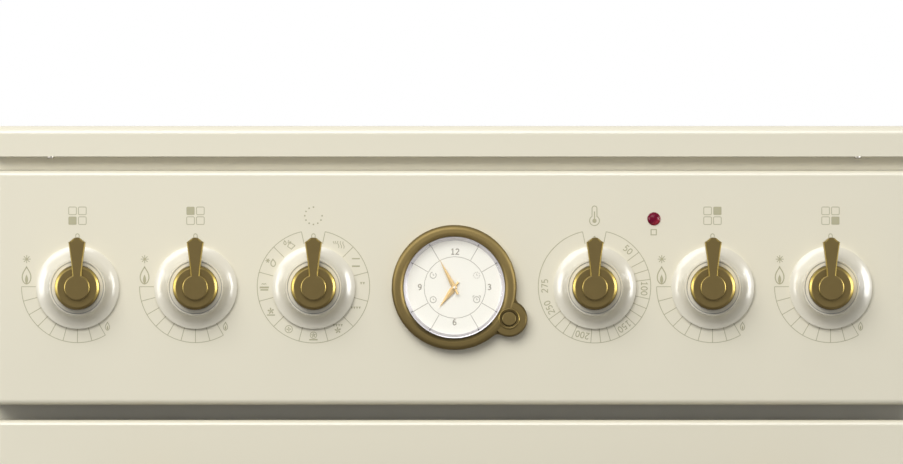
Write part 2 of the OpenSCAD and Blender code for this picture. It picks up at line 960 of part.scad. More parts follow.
// The rosette's section: a bead, a hollow flank, a lip, a fine groove and a dished ring
module rosette_section() {
    lip_r = hub_r + 3.6;
    bead = 3;
    hollow = 11;
    hollow_z = bead + hollow - 0.6;
    groove_w = 0.5;
    groove_r = lip_r - groove_w / 2 - 0.8;
    groove_d = 1.1;
    dish_d = 0.3;
    difference() {
        union() {
            translate([hub_r + near, 0])
                square([rosette_r - bead - hub_r - near, rosette_h]);
            square_ring(hub_r + near, rosette_r, 0, bead);
            translate([rosette_r - bead, bead])
                circle(bead);
        }
        // The hollow flank
        translate([lip_r + hollow, hollow_z])
            circle(hollow);
        translate([lip_r + hollow - eps, hollow_z])
            square([hollow, hollow]);
        // The groove and the dished ring inside it
        square_ring(groove_r - groove_w / 2, groove_r + groove_w / 2, rosette_h - groove_d, groove_d + eps);
        square_ring(hub_r, groove_r, rosette_h - dish_d, dish_d + eps);
    }
}

module square_ring(r1, r2, z, h) {
    translate([r1, z])
        square([r2 - r1, h]);
}

module knob_rosettes() {
    color(pearl)
        for (x = KNOB_X)
            facing(x, z_knob)
                rotate_extrude()
                    intersection() {
                        rosette_section();
                        square([2 * rosette_r, 2 * rosette_h]);
                    }
}

// The lever's form: levels of [height below its face, growth of the outline]
LEVER_LEVELS = [[8, 0.9], [0.8, 0.65], [0, 0]];
lever_root = 4;
shoulder_back = 2.7;
waist = 1.25;
side_steps = 8;
// The ogee tip, as [share of the half width, distance behind the apex]
LEVER_TIP = [[0.74, 2.1], [0.55, 1.25], [0.34, 0.3], [0.14, 0]];

// The right half of the lever's outline, from its root to the apex, grown by g
function lever_half(g) = concat([[lever_neck / 2 + g, lever_root]],
    [for (i = [0 : side_steps])
        let (t = i / side_steps)
        [lever_neck / 2 + (lever_w - lever_neck) / 2 * pow(t, waist) + g,
            boss_r + (lever_r - shoulder_back - boss_r) * t + g * t * 0.5]],
    [for (p = LEVER_TIP) [p[0] * (lever_w / 2 + g), lever_r - p[1] + g]]);

module lever() {
    half = len(lever_half(0));
    points = [for (level = LEVER_LEVELS, side = [1, -1], p = lever_half(level[1]))
        [side * p.x, p.y, hub_h + boss_h - level[0]]];
    steps = [for (level = [0 : len(LEVER_LEVELS) - 2], i = [0 : half - 2]) [2 * half * level + i, 2 * half]];
    ends = [for (level = [0 : len(LEVER_LEVELS) - 2], i = [0, half - 1]) [2 * half * level + i, 2 * half]];
    top = 2 * half * (len(LEVER_LEVELS) - 1);
    polyhedron(points, concat(
        [for (s = steps) [s[0], s[0] + s[1], s[0] + s[1] + 1, s[0] + 1]],
        [for (s = steps) [s[0] + half, s[0] + half + 1, s[0] + half + s[1] + 1, s[0] + half + s[1]]],
        [for (s = ends) s[0] % half == 0
            ? [s[0], s[0] + half, s[0] + half + s[1], s[0] + s[1]]
            : [s[0], s[0] + s[1], s[0] + half + s[1], s[0] + half]],
        [for (i = [0 : half - 2]) [i, i + 1, i + half + 1, i + half]],
        [for (i = [0 : half - 2]) [top + i, top + i + half, top + i + half + 1, top + i + 1]]));
}

module knob(k, grip_l) {
    edge_l = 1.8;
    edge_foot = [0.3, 1.2];
    edge_top = [1.4, 0.2];
    boss_edge = 0.8;
    hub_back = knob_push + 1;
    spindle_grip = 11;
    facing(KNOB_X[k], z_knob) {
        color(antique_brass)
            difference() {
                union() {
                    // The hub, round at its front edge, with the boss on it
                    rotate_extrude() {
                        polygon([[0, hub_back], [hub_r, hub_back], [hub_r, hub_h - edge_l],
                            [hub_r, hub_h] - edge_foot, [hub_r, hub_h] - edge_top,
                            [hub_r - edge_l, hub_h], [0, hub_h]]);
                        square_ring(0, boss_r, hub_h - 1, boss_h + 1 - boss_edge);
                        square_ring(0, boss_r - boss_edge, hub_h - 1, boss_h + 1);
                        translate([boss_r - boss_edge, hub_h + boss_h - boss_edge])
                            circle(boss_edge);
                    }
                    lever();
                }
                translate([0, 0, hub_back - eps])
                    flatted_rod(spindle_r + run / 2, spindle_grip + 1 + eps);
            }
        // The steel spindle pressed into it
        color(zinc)
            translate([0, 0, -fascia_d - bracket_t - grip_l])
                flatted_rod(spindle_r, fascia_d + bracket_t + grip_l + hub_back + spindle_grip);
    }
}

module knob_front_left() {
    knob(0, plug_l + 5);
}

module knob_rear_left() {
    knob(1, plug_l + 5);
}

module knob_rear_right() {
    knob(4, plug_l + 5);
}

module knob_front_right() {
    knob(5, plug_l + 5);
}

module knob_function() {
    knob(2, 14);
}

module knob_thermostat() {
    knob(3, 14);
}

module pilot_lamp() {
    tube_r = lamp_r - 1 - near;
    color([0.55, 0.02, 0.08])
        facing(lamp_x, z_knob + lamp_dz) {
            difference() {
                sphere_cap(lamp_r, 2.6);
                translate([0, 0, -eps])
                    cylinder(h = 0.5 + eps, r = tube_r);
            }
            translate([0, 0, -fascia_d - bracket_t - 16])
                cylinder(h = fascia_d + bracket_t + 16.5, r = tube_r);
            translate([0, 0, -fascia_d - bracket_t - 14])
                cylinder(h = 14, r = tube_r + 2.5);
        }
}

// A shallow dome of foot radius r and height h
module sphere_cap(r, h) {
    ball = (r * r + h * h) / (2 * h);
    intersection() {
        translate([0, 0, h - ball])
            sphere(ball);
        cylinder(h = h + eps, r = r);
    }
}

// ---------------------------------------------------------------- clock

// The bezel's section, a soft half round with a lip that holds the glass
module bezel_section() {
    w = bezel_r - dial_r;
    soft = 3;
    translate([dial_r, 0])
        square([w, bezel_h - soft]);
    translate([dial_r + soft, 0])
        square([w - 2 * soft, bezel_h]);
    for (x = [soft, w - soft])
        translate([dial_r + x, bezel_h - soft])
            circle(soft);
}

// The web that blends the lobe into the ring on the side s, hollowed to radius lobe_fillet
module lobe_web(s) {
    span = norm([lobe_x, lobe_z]);
    to_ring = bezel_r + lobe_fillet;
    to_lobe = lobe_r + lobe_fillet;
    along = (span * span + to_ring * to_ring - to_lobe * to_lobe) / (2 * span);
    across = sqrt(to_ring * to_ring - along * along);
    rotate([0, 0, atan2(lobe_z, lobe_x)])
        difference() {
            polygon([[0, 0], [span, 0], [along, s * across]]);
            translate([along, s * across])
                circle(lobe_fillet);
        }
}

module clock_bezel() {
    soft = 3;
    flat = 0.6;
    color(antique_brass)
        facing(0, z_knob)
            difference() {
                union() {
                    rotate_extrude()
                        bezel_section();
                    translate([lobe_x, lobe_z, 0])
                        rotate_extrude() {
                            square([lobe_r, bezel_h - soft]);
                            square([lobe_r - soft, bezel_h - flat]);
                            translate([lobe_r - soft, bezel_h - soft])
                                intersection() {
                                    circle(soft);
                                    square([soft, soft - flat]);
                                }
                        }
                    for (s = [-1, 1])
                        linear_extrude(bezel_h - soft)
                            lobe_web(s);
                }
                translate([0, 0, -eps])
                    cylinder(h = bezel_h + 2 * eps, r = dial_r);
                // The recess and the bore of the setting knob
                translate([lobe_x, lobe_z, bezel_h - recess_d])
                    cylinder(h = recess_d + eps, r = setter_r + setter_gap);
                translate([lobe_x, lobe_z, -eps])
                    cylinder(h = bezel_h, r = sleeve_r + near);
            }
}

module clock_dial() {
    color([0.97, 0.96, 0.91])
        facing(0, z_knob)
            difference() {
                translate([0, 0, near])
                    cylinder(h = 1, r = dial_r - near);
                translate([0, 0, -eps])
                    cylinder(h = 3, r = 2.5);
            }
}

module clock_glass() {
    color(glass)
        facing(0, z_knob)
            translate([0, 0, bezel_h - glass_t - 2.4]) {
                cylinder(h = glass_t - 1, r = dial_r - near);
                translate([0, 0, glass_t - 1])
                    cylinder(h = 1, r1 = dial_r - near, r2 = dial_r - 2.4);
            }
}

module clock_movement() {
    lobe = 7;
    color(black)
        facing(0, z_knob)
            difference() {
                union() {
                    translate([0, 0, -movement_l])
                        cylinder(h = movement_l, r = movement_r);
                    // The ears behind the bracket and the gear case under the setting knob
                    translate([0, 0, -fascia_d - bracket_t - 3])
                        linear_extrude(3) {
                            rounded_rect(2 * movement_r + 26, 16, 4);
                            translate([lobe_x / 2, lobe_z / 2])
                                rotate([0, 0, atan2(lobe_z, lobe_x)])
                                    rounded_rect(norm([lobe_x, lobe_z]) + 2 * lobe, 2 * lobe, lobe - 0.1);
                        }
                }
                translate([0, 0, -movement_l / 2])
                    cylinder(h = movement_l, r = 2.1);
                translate([lobe_x, lobe_z, -fascia_d - bracket_t - 4])
                    cylinder(h = 6, r = sleeve_r + near);
            }
}

hand_t = 0.5;
hour_angle = 217;
minute_angle = 332.4;

// A slim hand with a short tail, pointing to the angle a clockwise from twelve
module hand(a, l, w, tail) {
    rotate([0, 0, -a])
        linear_extrude(hand_t) {
            polygon([[0, l], [w / 2, l * 0.12], [0, -1], [-w / 2, l * 0.12]]);
            polygon([[0, 1], [w * 0.45, -tail], [0, -tail * 0.8], [-w * 0.45, -tail]]);
            circle(1.9);
        }
}

module hour_hand() {
    color(gold)
        facing(0, z_knob)
            difference() {
                union() {
                    translate([0, 0, 2])
                        hand(hour_angle, hour_len, 3.2, 4.6);
                    translate([0, 0, -8])
                        cylinder(h = 10.2, r = 1.8);
                }
                translate([0, 0, -9])
                    cylinder(h = 12, r = 1.1);
            }
}

module minute_hand() {
    color(gold)
        facing(0, z_knob) {
            translate([0, 0, 3])
                hand(minute_angle, minute_len, 2.6, 5.4);
            translate([0, 0, -12])
                cylinder(h = 15.9, r = 0.9);
        }
}

module clock_stem() {
    stem_l = fascia_d + bracket_t + 2;
    color(zinc)
        facing(lobe_x, z_knob + lobe_z)
            translate([0, 0, -stem_l]) {
                cylinder(h = stem_l + 2, r = stem_r);
                cylinder(h = 4, r = sleeve_r);
            }
}

module clock_setter() {
    edge = 0.8;
    head_h = 4.2;
    head_z = bezel_h - recess_d + setter_push + near;
    bore_l = 3 + setter_push + near;
    color(antique_brass)
        facing(lobe_x, z_knob + lobe_z)
            difference() {
                union() {
                    rotate_extrude() {
                        square_ring(0, setter_r, head_z, head_h - edge);
                        square_ring(0, setter_r - edge, head_z, head_h);
                        translate([setter_r - edge, head_z + head_h - edge])
                            circle(edge);
                    }
                    translate([0, 0, 1])
                        cylinder(h = head_z + head_h / 2, r = sleeve_r);
                }
                cylinder(h = bore_l, r = stem_r + run);
            }
}

// ---------------------------------------------------------------- oven

module oven_section(grow) {
    rounded_rect(oven_w + 2 * grow, oven_h + 2 * grow, oven_r + grow);
}

module along_y(y, l) {
    translate([0, y + l, mouth_z])
        rotate([90, 0, 0])
            linear_extrude(l)
                children();
}

// Where the fan, the elements and the lamp pass through the cavity's back wall
module back_wall_holes(grow) {
    y = y_oven_back - eps;
    l = sheet + near + wool_t + 2 * eps;
    through(0, z_fan, y, l, shaft_r + 2 + grow);
    for (s = [-1, 1]) {
        through(s * ring_leg_x, z_fan + ring_R - ring_leg_drop, y, l, element_r + near + grow);
        through(s * grill_leg_x, z_grill, y, l, element_r + near + grow);
    }
    through(oven_lamp_x, oven_lamp_z, y, l, lamp_glass_r - 4 + grow);
}

module through(x, z, y, l, r) {
    translate([x, y, z])
        rotate([-90, 0, 0])
            cylinder(h = l, r = r);
}

ring_R = fan_r + 16;
ring_leg_x = 20;
ring_leg_drop = ring_R - sqrt(ring_R * ring_R - ring_leg_x * ring_leg_x);
z_grill = z_oven + oven_h - grill_drop;
grill_leg_x = 60;
oven_lamp_x = -oven_w / 2 + 38;
oven_lamp_z = z_oven + oven_h - 52;

module oven_cavity() {
    flange = 11;
    color(liner_grey)
        difference() {
            union() {
                along_y(y_oven, oven_d + sheet)
                    oven_section(sheet);
                along_y(y_oven, sheet)
                    oven_section(flange);
            }
            along_y(y_oven - eps, oven_d + eps)
                oven_section(0);
            back_wall_holes(0);
        }
}

module oven_insulation() {
    gap = sheet + near;
    color(wool)
        difference() {
            along_y(y_oven + sheet + near, oven_d + wool_t)
                oven_section(gap + wool_t);
            along_y(y_oven, oven_d + gap)
                oven_section(gap);
            back_wall_holes(4);
        }
}

// The wire ladders that carry the shelves, one on each side wall
module shelf_ladders() {
    y0 = y_oven + 16;
    y1 = y0 + shelf_d - 20;
    top = z_oven + shelf_z0 + (shelf_levels - 1) * shelf_step + 22;
    bottom = z_oven + 24;
    color(chrome)
        for (s = [-1, 1])
            scale_x(s) {
                for (y = [y0 + 24, y1 - 24]) {
                    translate([upright_x, y, bottom])
                        cylinder(h = top - bottom, r = wire_r);
                    // The studs that hang the ladder on the wall
                    for (z = [bottom + 8, top - 8])
                        translate([upright_x, y, z])
                            rotate([0, 90, 0])
                                cylinder(h = oven_w / 2 - upright_x, r = 4.5);
                }
                for (i = [0 : shelf_levels - 1])
                    translate([runner_x, y0, z_oven + shelf_z0 + i * shelf_step])
                        rotate([-90, 0, 0])
                            cylinder(h = y1 - y0, r = wire_r);
            }
}

function level_z(i) = z_oven + shelf_z0 + i * shelf_step;

module wire_shelf() {
    z = level_z(2) + shelf_rise;
    y0 = y_oven + 14;
    y1 = y0 + shelf_d - 12;
    bars = 15;
    thin = 1.6;
    bend = 14;
    color(chrome) {
        bent_rod([[0, y0, z], [shelf_x, y0, z], [shelf_x, y1, z], [-shelf_x, y1, z], [-shelf_x, y0, z], [0, y0, z]],
            shelf_r, bend);
        for (i = [0 : bars - 1])
            translate([(i - (bars - 1) / 2) * (2 * shelf_x - 40) / (bars - 1), y0, z + shelf_r - thin / 2])
                rotate([-90, 0, 0])
                    cylinder(h = y1 - y0, r = thin);
    }
}

module baking_tray() {
    lip = 7;
    depth = 24;
    t = 1;
    w = 2 * (upright_x - wire_r - near) - 1;
    l = shelf_d - 14;
    z = level_z(0) + wire_r + near;
    inner_w = 2 * (runner_x - wire_r) - 2 * near - 2;
    color(liner_grey)
        translate([0, y_oven + 14 + l / 2, z])
            difference() {
                union() {
                    linear_extrude(t)
                        rounded_rect(w, l, 12);
                    translate([0, 0, t - depth])
                        linear_extrude(depth)
                            rounded_rect(inner_w, l - 2 * lip, 16);
                }
                translate([0, 0, 2 * t - depth])
                    linear_extrude(depth + 1)
                        rounded_rect(inner_w - 2 * t, l - 2 * lip - 2 * t, 16 - t);
            }
}

module fan_cover() {
    z0 = z_fan - cover_h / 2 + 10;
    pitch = 15;
    color(liner_grey)
        difference() {
            translate([0, y_fan_cover, z0])
                front_tray(cover_w, fan_space, cover_h, 5, sheet);
            // The intake: rings of holes in front of the fan
            for (ring = [1 : 4], i = [0 : 6 * ring - 1])
                through(ring * pitch * cos(i * 60 / ring), z_fan + ring * pitch * sin(i * 60 / ring),
                    y_fan_cover - eps, sheet + 2 * eps, 4.6);
            // The outlets along both sides
            for (s = [-1, 1], i = [0 : 6])
                translate([s * (cover_w / 2 - 34), y_fan_cover + sheet + eps, z0 + 46 + i * (cover_h - 92) / 6])
                    rotate([90, 0, 0])
                        linear_extrude(sheet + 2 * eps)
                            rounded_rect(36, 9, 4.4);
        }
}

module heating_elements() {
    y_ring = y_oven_back - fan_space / 2 + 1;
    grill_l = oven_d - 90;
    outer = oven_w / 2 - 50;
    inner = 50;
    middle = (outer + inner) / 2;
    near_back = y_oven_back - 60;
    turn = y_oven_back - 110;
    front = y_oven_back - grill_l;
    color([0.30, 0.30, 0.31]) {
        // The ring round the fan
        translate([0, y_ring, z_fan])
            rotate([-90, 0, 0])
                rotate_extrude()
                    translate([ring_R, 0])
                        circle(element_r);
        for (s = [-1, 1])
            through(s * ring_leg_x, z_fan + ring_R - ring_leg_drop, y_ring,
                y_oven_back + sheet + 18 - y_ring, element_r - 0.4);
        // The grill under the roof
        bent_rod([[-grill_leg_x, y_oven_back + 18, z_grill], [-grill_leg_x, near_back, z_grill],
            [-outer, near_back, z_grill], [-outer, front, z_grill], [-middle, front, z_grill],
            [-middle, turn, z_grill], [-inner, turn, z_grill], [-inner, front, z_grill],
            [inner, front, z_grill], [inner, turn, z_grill], [middle, turn, z_grill],
            [middle, front, z_grill], [outer, front, z_grill], [outer, near_back, z_grill],
            [grill_leg_x, near_back, z_grill], [grill_leg_x, y_oven_back + 18, z_grill]],
            element_r, 14);
    }
}

module oven_lamp() {
    dome = 10;
    translate([oven_lamp_x, y_oven_back, oven_lamp_z])
        rotate([90, 0, 0]) {
            color([0.95, 0.93, 0.85])
                sphere_cap(lamp_glass_r, dome);
            color(zinc)
                translate([0, 0, -sheet - 34])
                    cylinder(h = sheet + 34, r = lamp_glass_r - 5);
        }
}

module fan_motor() {
    can_r = 32;
    can_l = 40;
    color(zinc)
        translate([0, y_wool_back, z_fan])
            rotate([-90, 0, 0])
                difference() {
                    union() {
                        linear_extrude(2)
                            rounded_rect(120, 90, 8);
                        cylinder(h = can_l, r = can_r);
                        translate([0, 0, can_l])
                            cylinder(h = 5, r = 12);
                    }
                    translate([0, 0, -eps])
                        cylinder(h = can_l / 2, r = shaft_r + run);
                }
}

module convection_fan() {
    disc_y = y_oven_back - 8;
    blade_l = 20;
    color(zinc) {
        translate([0, disc_y, z_fan])
            rotate([90, 0, 0]) {
                cylinder(h = 1.5, r = fan_r);
                cylinder(h = 14, r = 10);
                for (i = [0 : fan_blades - 1])
                    rotate([0, 0, i * 360 / fan_blades])
                        translate([fan_r * 0.5, 0, 1])
                            rotate([0, 0, 25])
                                cube([fan_r * 0.42, 1.5, blade_l]);
            }
        through(0, z_fan, disc_y - 4, y_wool_back - disc_y + 4 + 15, shaft_r);
    }
}

// ---------------------------------------------------------------- door

// The window's outline: straight sides under a shallow arch
module window_outline(grow) {
    intersection() {
        rounded_rect(window_w + 2 * grow, window_h + 2 * grow, 10 + grow);
        translate([0, window_h / 2 - window_arch])
            circle(window_arch + grow, $fn = 400);
    }
}

module at_window(y) {
    translate([0, y, z_door + window_lift + window_h / 2])
        rotate([90, 0, 0])
            children();
}

// The room that the two hinge arms sweep as the door opens
module hinge_slots() {
    slot = hinge_arm_t + 2 * near;
    for (s = [-1, 1])
        translate([s * hinge_x - slot / 2, y_hinge - 6, z_door - eps])
            cube([slot, hinge_back + 6 + eps, hinge_up + 5.5 + eps]);
}

module door_panel() {
    color(cream)
        difference() {
            union() {
                translate([0, y_face, z_door])
                    front_tray(front_w, door_t - 10, door_h, front_r, door_skin);
                // The raised moulding round the window
                at_window(y_face + eps)
                    linear_extrude(moulding_h + eps)
                        difference() {
                            window_outline(moulding_w);
                            window_outline(-1);
                        }
            }
            at_window(y_face + door_skin + eps)
                linear_extrude(door_skin + moulding_h + 2 * eps)
                    window_outline(0);
            hinge_slots();
        }
}

frame_in = door_skin + near;
y_pane = y_frame - seal_t - pane_t;
frame_window_w = 470;
frame_window_h = oven_h;

module door_frame() {
    y0 = y_face + door_skin;
    w = front_w - 2 * frame_in;
    h = door_h - 2 * frame_in;
    t = sheet;
    cz = z_door + 60 + frame_window_h / 2;
    glass_back = y0 + pane_t;
    color(zinc)
        difference() {
            union() {
                difference() {
                    translate([-w / 2, y0 + 3, z_door + frame_in])
                        cube([w, y_pane - y0 - 3, h]);
                    translate([-w / 2 + t, y0, z_door + frame_in + t])
                        cube([w - 2 * t, y_pane - y0 - t, h - 2 * t]);
                }
                // The collar round the air space between the panes
                translate([0, y_pane, cz])
                    rotate([90, 0, 0])
                        linear_extrude(y_pane - glass_back)
                            rounded_rect(frame_window_w + 2 * t, frame_window_h + 2 * t, 10 + t);
                // The ears that turn on the hinge pins
                for (s = [-1, 1], side = [-1, 1])
                    scale_x(s)
                        hinge_ear(side, y0);
            }
            translate([0, y_pane + eps, cz])
                rotate([90, 0, 0])
                    linear_extrude(y_pane - glass_back + 2 * eps)
                        rounded_rect(frame_window_w, frame_window_h, 10);
            hinge_slots();
            for (s = [-1, 1])
                translate([s * hinge_x - 10, y_hinge, z_hinge])
                    rotate([0, 90, 0])
                        cylinder(h = 20, r = hinge_pin_r + run);
        }
}

module hinge_ear(side, y0) {
    inner = hinge_arm_t / 2 + near;
    translate([hinge_x + (side > 0 ? inner : -inner - hinge_ear_t), y0 + 4, z_door + frame_in])
        cube([hinge_ear_t, y_pane - y0 - 4 - eps, 2 * hinge_up]);
}

module door_glass() {
    margin = 14;
    color(glass) {
        at_window(y_face + door_skin + pane_t)
            linear_extrude(pane_t)
                rounded_rect(window_w + 2 * margin, window_h + 2 * margin, 12);
        translate([0, y_pane + pane_t, z_door + 40 + (door_h - 60) / 2])
            rotate([90, 0, 0])
                linear_extrude(pane_t)
                    rounded_rect(front_w - 40, door_h - 60, 12);
    }
}

module door_seal() {
    path = 9;
    width = 7;
    color(black)
        along_y(y_frame - seal_t + near, seal_t - near)
            difference() {
                oven_section(path + width);
                oven_section(path);
            }
}

// A turned bar on two posts, drawn along X with its axis on y = z = 0 and the door at y = reach
module bar_handle(l, posts, reach) {
    neck = bar_r - 2;
    color(antique_brass) {
        rotate([0, 90, 0]) {
            translate([0, 0, -l / 2])
                cylinder(h = l, r = bar_r);
            for (s = [-1, 1]) {
                translate([0, 0, s * (l / 2 - 3) - 3])
                    cylinder(h = 6, r = knop_r);
                translate([0, 0, s * (l / 2 + 3)])
                    sphere(neck);
                translate([0, 0, s * posts / 2 - 9])
                    cylinder(h = 18, r = knop_r);
            }
        }
        for (s = [-1, 1])
            translate([s * posts / 2, 0, 0])
                rotate([-90, 0, 0]) {
                    cylinder(h = reach, r = neck);
                    translate([0, 0, reach - 7])
                        cylinder(h = 4, r1 = neck, r2 = knop_r + 2);
                    translate([0, 0, reach - 3])
                        cylinder(h = 3, r = knop_r + 2);
                }
    }
}

handle_drop = 44;

module door_handle() {
    translate([0, y_face - handle_reach + knop_r, z_door_top - handle_drop])
        bar_handle(handle_l, post_pitch, handle_reach - knop_r);
}

// ---------------------------------------------------------------- drawer

module drawer_front() {
    color(cream)
        translate([0, y_face, z_drawer])
            front_tray(front_w, drawer_front_d, drawer_h, front_r, door_skin);
}

module drawer_box() {
    t = sheet;
    y0 = y_face + drawer_front_d;
    color(zinc)
        difference() {
            translate([-drawer_w / 2, y0, z_box])
                cube([drawer_w, drawer_l, drawer_box_h]);
            translate([-drawer_w / 2 + t, y0 + t, z_box + t])
                cube([drawer_w - 2 * t, drawer_l - 2 * t, drawer_box_h]);
        }
    color(zinc)
        translate([-front_w / 2 + door_skin + near, y0, z_drawer + door_skin + near])
            cube([front_w - 2 * door_skin - 2 * near, t, drawer_h - 2 * door_skin - 2 * near]);
}

module drawer_handle() {
    translate([0, y_face - handle_reach + knop_r + 6, z_drawer + drawer_h / 2])
        bar_handle(drawer_handle_l, drawer_posts, handle_reach - knop_r - 6);
}

module drawer_rails() {
    ledge = 22;
    side = drawer_w / 2 + near;
    y0 = y_frame + frame_t;
    l = y_back - 2 * sheet - y0;
    color(zinc)
        for (s = [-1, 1])
            scale_x(s) {
                translate([drawer_w / 2 - ledge, y0, z_base + frame_t])
                    cube([ledge + near + 2, l, rail_rise]);
                translate([side, y0, z_base + frame_t])
                    cube([2, l, rail_rise + 22]);
            }
}

side_panels();
back_panel();
base_pan();
front_frame();
plinth();
feet();
screws();
hob_top();
burner_cups();
flame_spreaders();
burner_caps();
igniters();
pan_support_left();
pan_support_right();
gas_manifold();
gas_pipes();
gas_taps();
control_bracket();
fascia();
knob_rosettes();
tap_plug_front_left();
tap_plug_rear_left();
tap_plug_rear_right();
tap_plug_front_right();
knob_front_left();
knob_rear_left();
knob_rear_right();
knob_front_right();
knob_function();
knob_thermostat();
oven_controls();
pilot_lamp();
clock_bezel();
clock_dial();
clock_glass();
clock_movement();
hour_hand();
minute_hand();
clock_stem();
clock_setter();
oven_cavity();
oven_insulation();
shelf_ladders();
wire_shelf();
baking_tray();
fan_cover();
heating_elements();
oven_lamp();
fan_motor();
convection_fan();
door_panel();
door_frame();
door_glass();
door_handle();
door_seal();
drawer_front();
drawer_box();
drawer_handle();
drawer_rails();
terminal_box();
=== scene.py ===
"""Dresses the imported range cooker: enamel, brass, printed dials, clock, hob, oven, studio and camera."""

import json
import math

import bmesh
import bpy
from mathutils import Matrix, Vector


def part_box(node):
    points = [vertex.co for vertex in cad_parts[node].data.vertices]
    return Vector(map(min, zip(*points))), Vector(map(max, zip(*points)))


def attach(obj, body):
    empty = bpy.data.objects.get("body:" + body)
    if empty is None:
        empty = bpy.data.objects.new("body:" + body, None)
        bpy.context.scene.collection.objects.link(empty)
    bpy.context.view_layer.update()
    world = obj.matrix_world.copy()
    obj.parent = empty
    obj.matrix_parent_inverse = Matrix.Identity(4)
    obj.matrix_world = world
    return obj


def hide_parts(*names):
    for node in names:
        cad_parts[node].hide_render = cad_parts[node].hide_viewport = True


bl_info = {
    "name": "Range cooker dressing",
    "version": (1, 0, 0),
    "blender": (4, 5, 0),
    "location": "View3D > Sidebar > Cooker",
    "description": "Finishes and details of a cream enamelled range cooker with lever knobs and a clock",
    "category": "Object",
}

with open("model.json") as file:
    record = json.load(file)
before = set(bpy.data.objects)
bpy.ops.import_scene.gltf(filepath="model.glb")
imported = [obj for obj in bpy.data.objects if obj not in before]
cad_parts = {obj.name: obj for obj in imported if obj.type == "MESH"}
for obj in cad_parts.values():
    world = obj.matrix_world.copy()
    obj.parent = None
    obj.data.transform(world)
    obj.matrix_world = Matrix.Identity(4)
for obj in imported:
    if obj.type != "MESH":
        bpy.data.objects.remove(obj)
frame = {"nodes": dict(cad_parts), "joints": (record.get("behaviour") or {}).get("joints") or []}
NODES = frame["nodes"]
JOINTS = {joint["name"]: joint for joint in frame["joints"]}
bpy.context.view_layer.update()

MM = 0.001
GAS_KNOBS = ("front_left", "rear_left", "rear_right", "front_right")
FACE_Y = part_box("fascia")[0].y
WHITE_WORLD = 1.0
FINISH_PREFIX = "cooker_"


# ---------------------------------------------------------------- settings


def colour(name, description, default):
    """A colour setting, given in linear values."""
    return bpy.props.FloatVectorProperty(
        name=name, description=description, subtype="COLOR", size=3, min=0, max=1, default=default
    )


def length(name, description, default):
    """A length setting in millimetres."""
    return bpy.props.FloatProperty(name=name, description=description, min=0, default=default)


def metres(name, description, default):
    """A place or width setting in metres."""
    return bpy.props.FloatProperty(name=name, description=description, unit="LENGTH", default=default)


def amount(name, description, default, top=1.0):
    """A plain number setting."""
    return bpy.props.FloatProperty(name=name, description=description, min=0, max=top, default=default)


class EnamelSettings(bpy.types.PropertyGroup):
    cream: colour("Cream", "Colour of the outer enamel", (0.740, 0.697, 0.556))
    pearl: colour("Pearl", "Colour of the rosettes' lacquer", (0.72, 0.68, 0.56))
    oven: colour("Oven enamel", "Colour of the oven's inside", (0.055, 0.060, 0.075))
    roughness: amount("Gloss roughness", "Roughness of the outer enamel", 0.28)


class BrassSettings(bpy.types.PropertyGroup):
    patina: colour("Patina", "Colour of the antiqued faces", (0.120, 0.088, 0.0345))
    # Bright edge serves polished bevels and also the painted highlight on their sides
    bright: colour("Bright edge", "Colour of the polished bevels", (0.43, 0.325, 0.085))
    gilt: colour("Gilt", "Colour of the clock's hands", (0.52, 0.36, 0.155))


class MarkSettings(bpy.types.PropertyGroup):
    ink: colour("Ink", "Colour of the printed marks", (0.415, 0.39, 0.25))
    dial_ink: colour("Dial ink", "Colour of the clock's printed marks", (0.39, 0.345, 0.27))
    line: length("Line width", "Width of the printed lines in millimetres", 0.44)
    lift: length("Lift", "Thickness of the print in millimetres", 0.06)


class StudioSettings(bpy.types.PropertyGroup):
    key: amount("Key", "Strength of the large light above the camera, in watts", 81.0, 1000)
    side: amount("Side cards", "Strength of a card that shows in gloss alone, in watts", 21.0, 1000)
    top: amount("Top", "Strength of the light above the hob, in watts", 4.0, 1000)
    ambient: amount("Ambient", "Strength of the even light from all round", 0.40, 4)
    bounce: amount("Bounce", "How much of the light on the floor it throws back up", 0.16)
    floor: colour("Floor", "Colour of the floor", (0.90, 0.89, 0.87))


class CameraSettings(bpy.types.PropertyGroup):
    lens: length("Lens", "Focal length in millimetres", 700.0)
    centre_x: metres("Centre X", "Side shift of the view", -0.00176)
    centre_z: metres("Centre Z", "Height of the view's centre", 0.8307)
    width: metres("Width", "Width seen at the fascia", 0.58924)


# ---------------------------------------------------------------- node helpers


def put(node, key, value):
    """Sets an input of a node, or links a socket to it."""
    if isinstance(value, bpy.types.NodeSocket):
        node.id_data.links.new(value, node.inputs[key])
    else:
        node.inputs[key].default_value = value


def add(tree, kind, *numbered, **named):
    """A shader node with its attributes and inputs; an input can be a value or another node's socket."""
    node = tree.nodes.new("ShaderNode" + kind)
    inputs = dict(enumerate(numbered))
    for key, value in named.items():
        if hasattr(node, key):
            setattr(node, key, value)
        else:
            inputs[key.replace("_", " ")] = value
    for key, value in inputs.items():
        put(node, key, value)
    return node


def maths(tree, operation, *values, clamp=False):
    return add(tree, "Math", *values, operation=operation, use_clamp=clamp).outputs["Value"]


def noise(tree, vector, **values):
    return add(tree, "TexNoise", Vector=vector, **values).outputs["Fac"]


def bump(tree, height, depth, strength):
    return add(tree, "Bump", Height=height, Distance=depth, Strength=strength).outputs["Normal"]


def split(tree, vector):
    return add(tree, "SeparateXYZ", vector).outputs


def remap(tree, value, *limits, kind="LINEAR"):
    """The value carried from the first two limits to the last two, which are 0 and 1 if left out."""
    return add(tree, "MapRange", value, *limits, interpolation_type=kind).outputs["Result"]


def blend(tree, factor, first, second):
    """The mix of two colours, whose sockets share their names with others."""
    node = add(tree, "Mix", data_type="RGBA", Factor=factor)
    put(node, 6, first)
    put(node, 7, second)
    return node.outputs[2]


# Each shared effect is a function that builds it from its inputs and the place, and gives its outputs


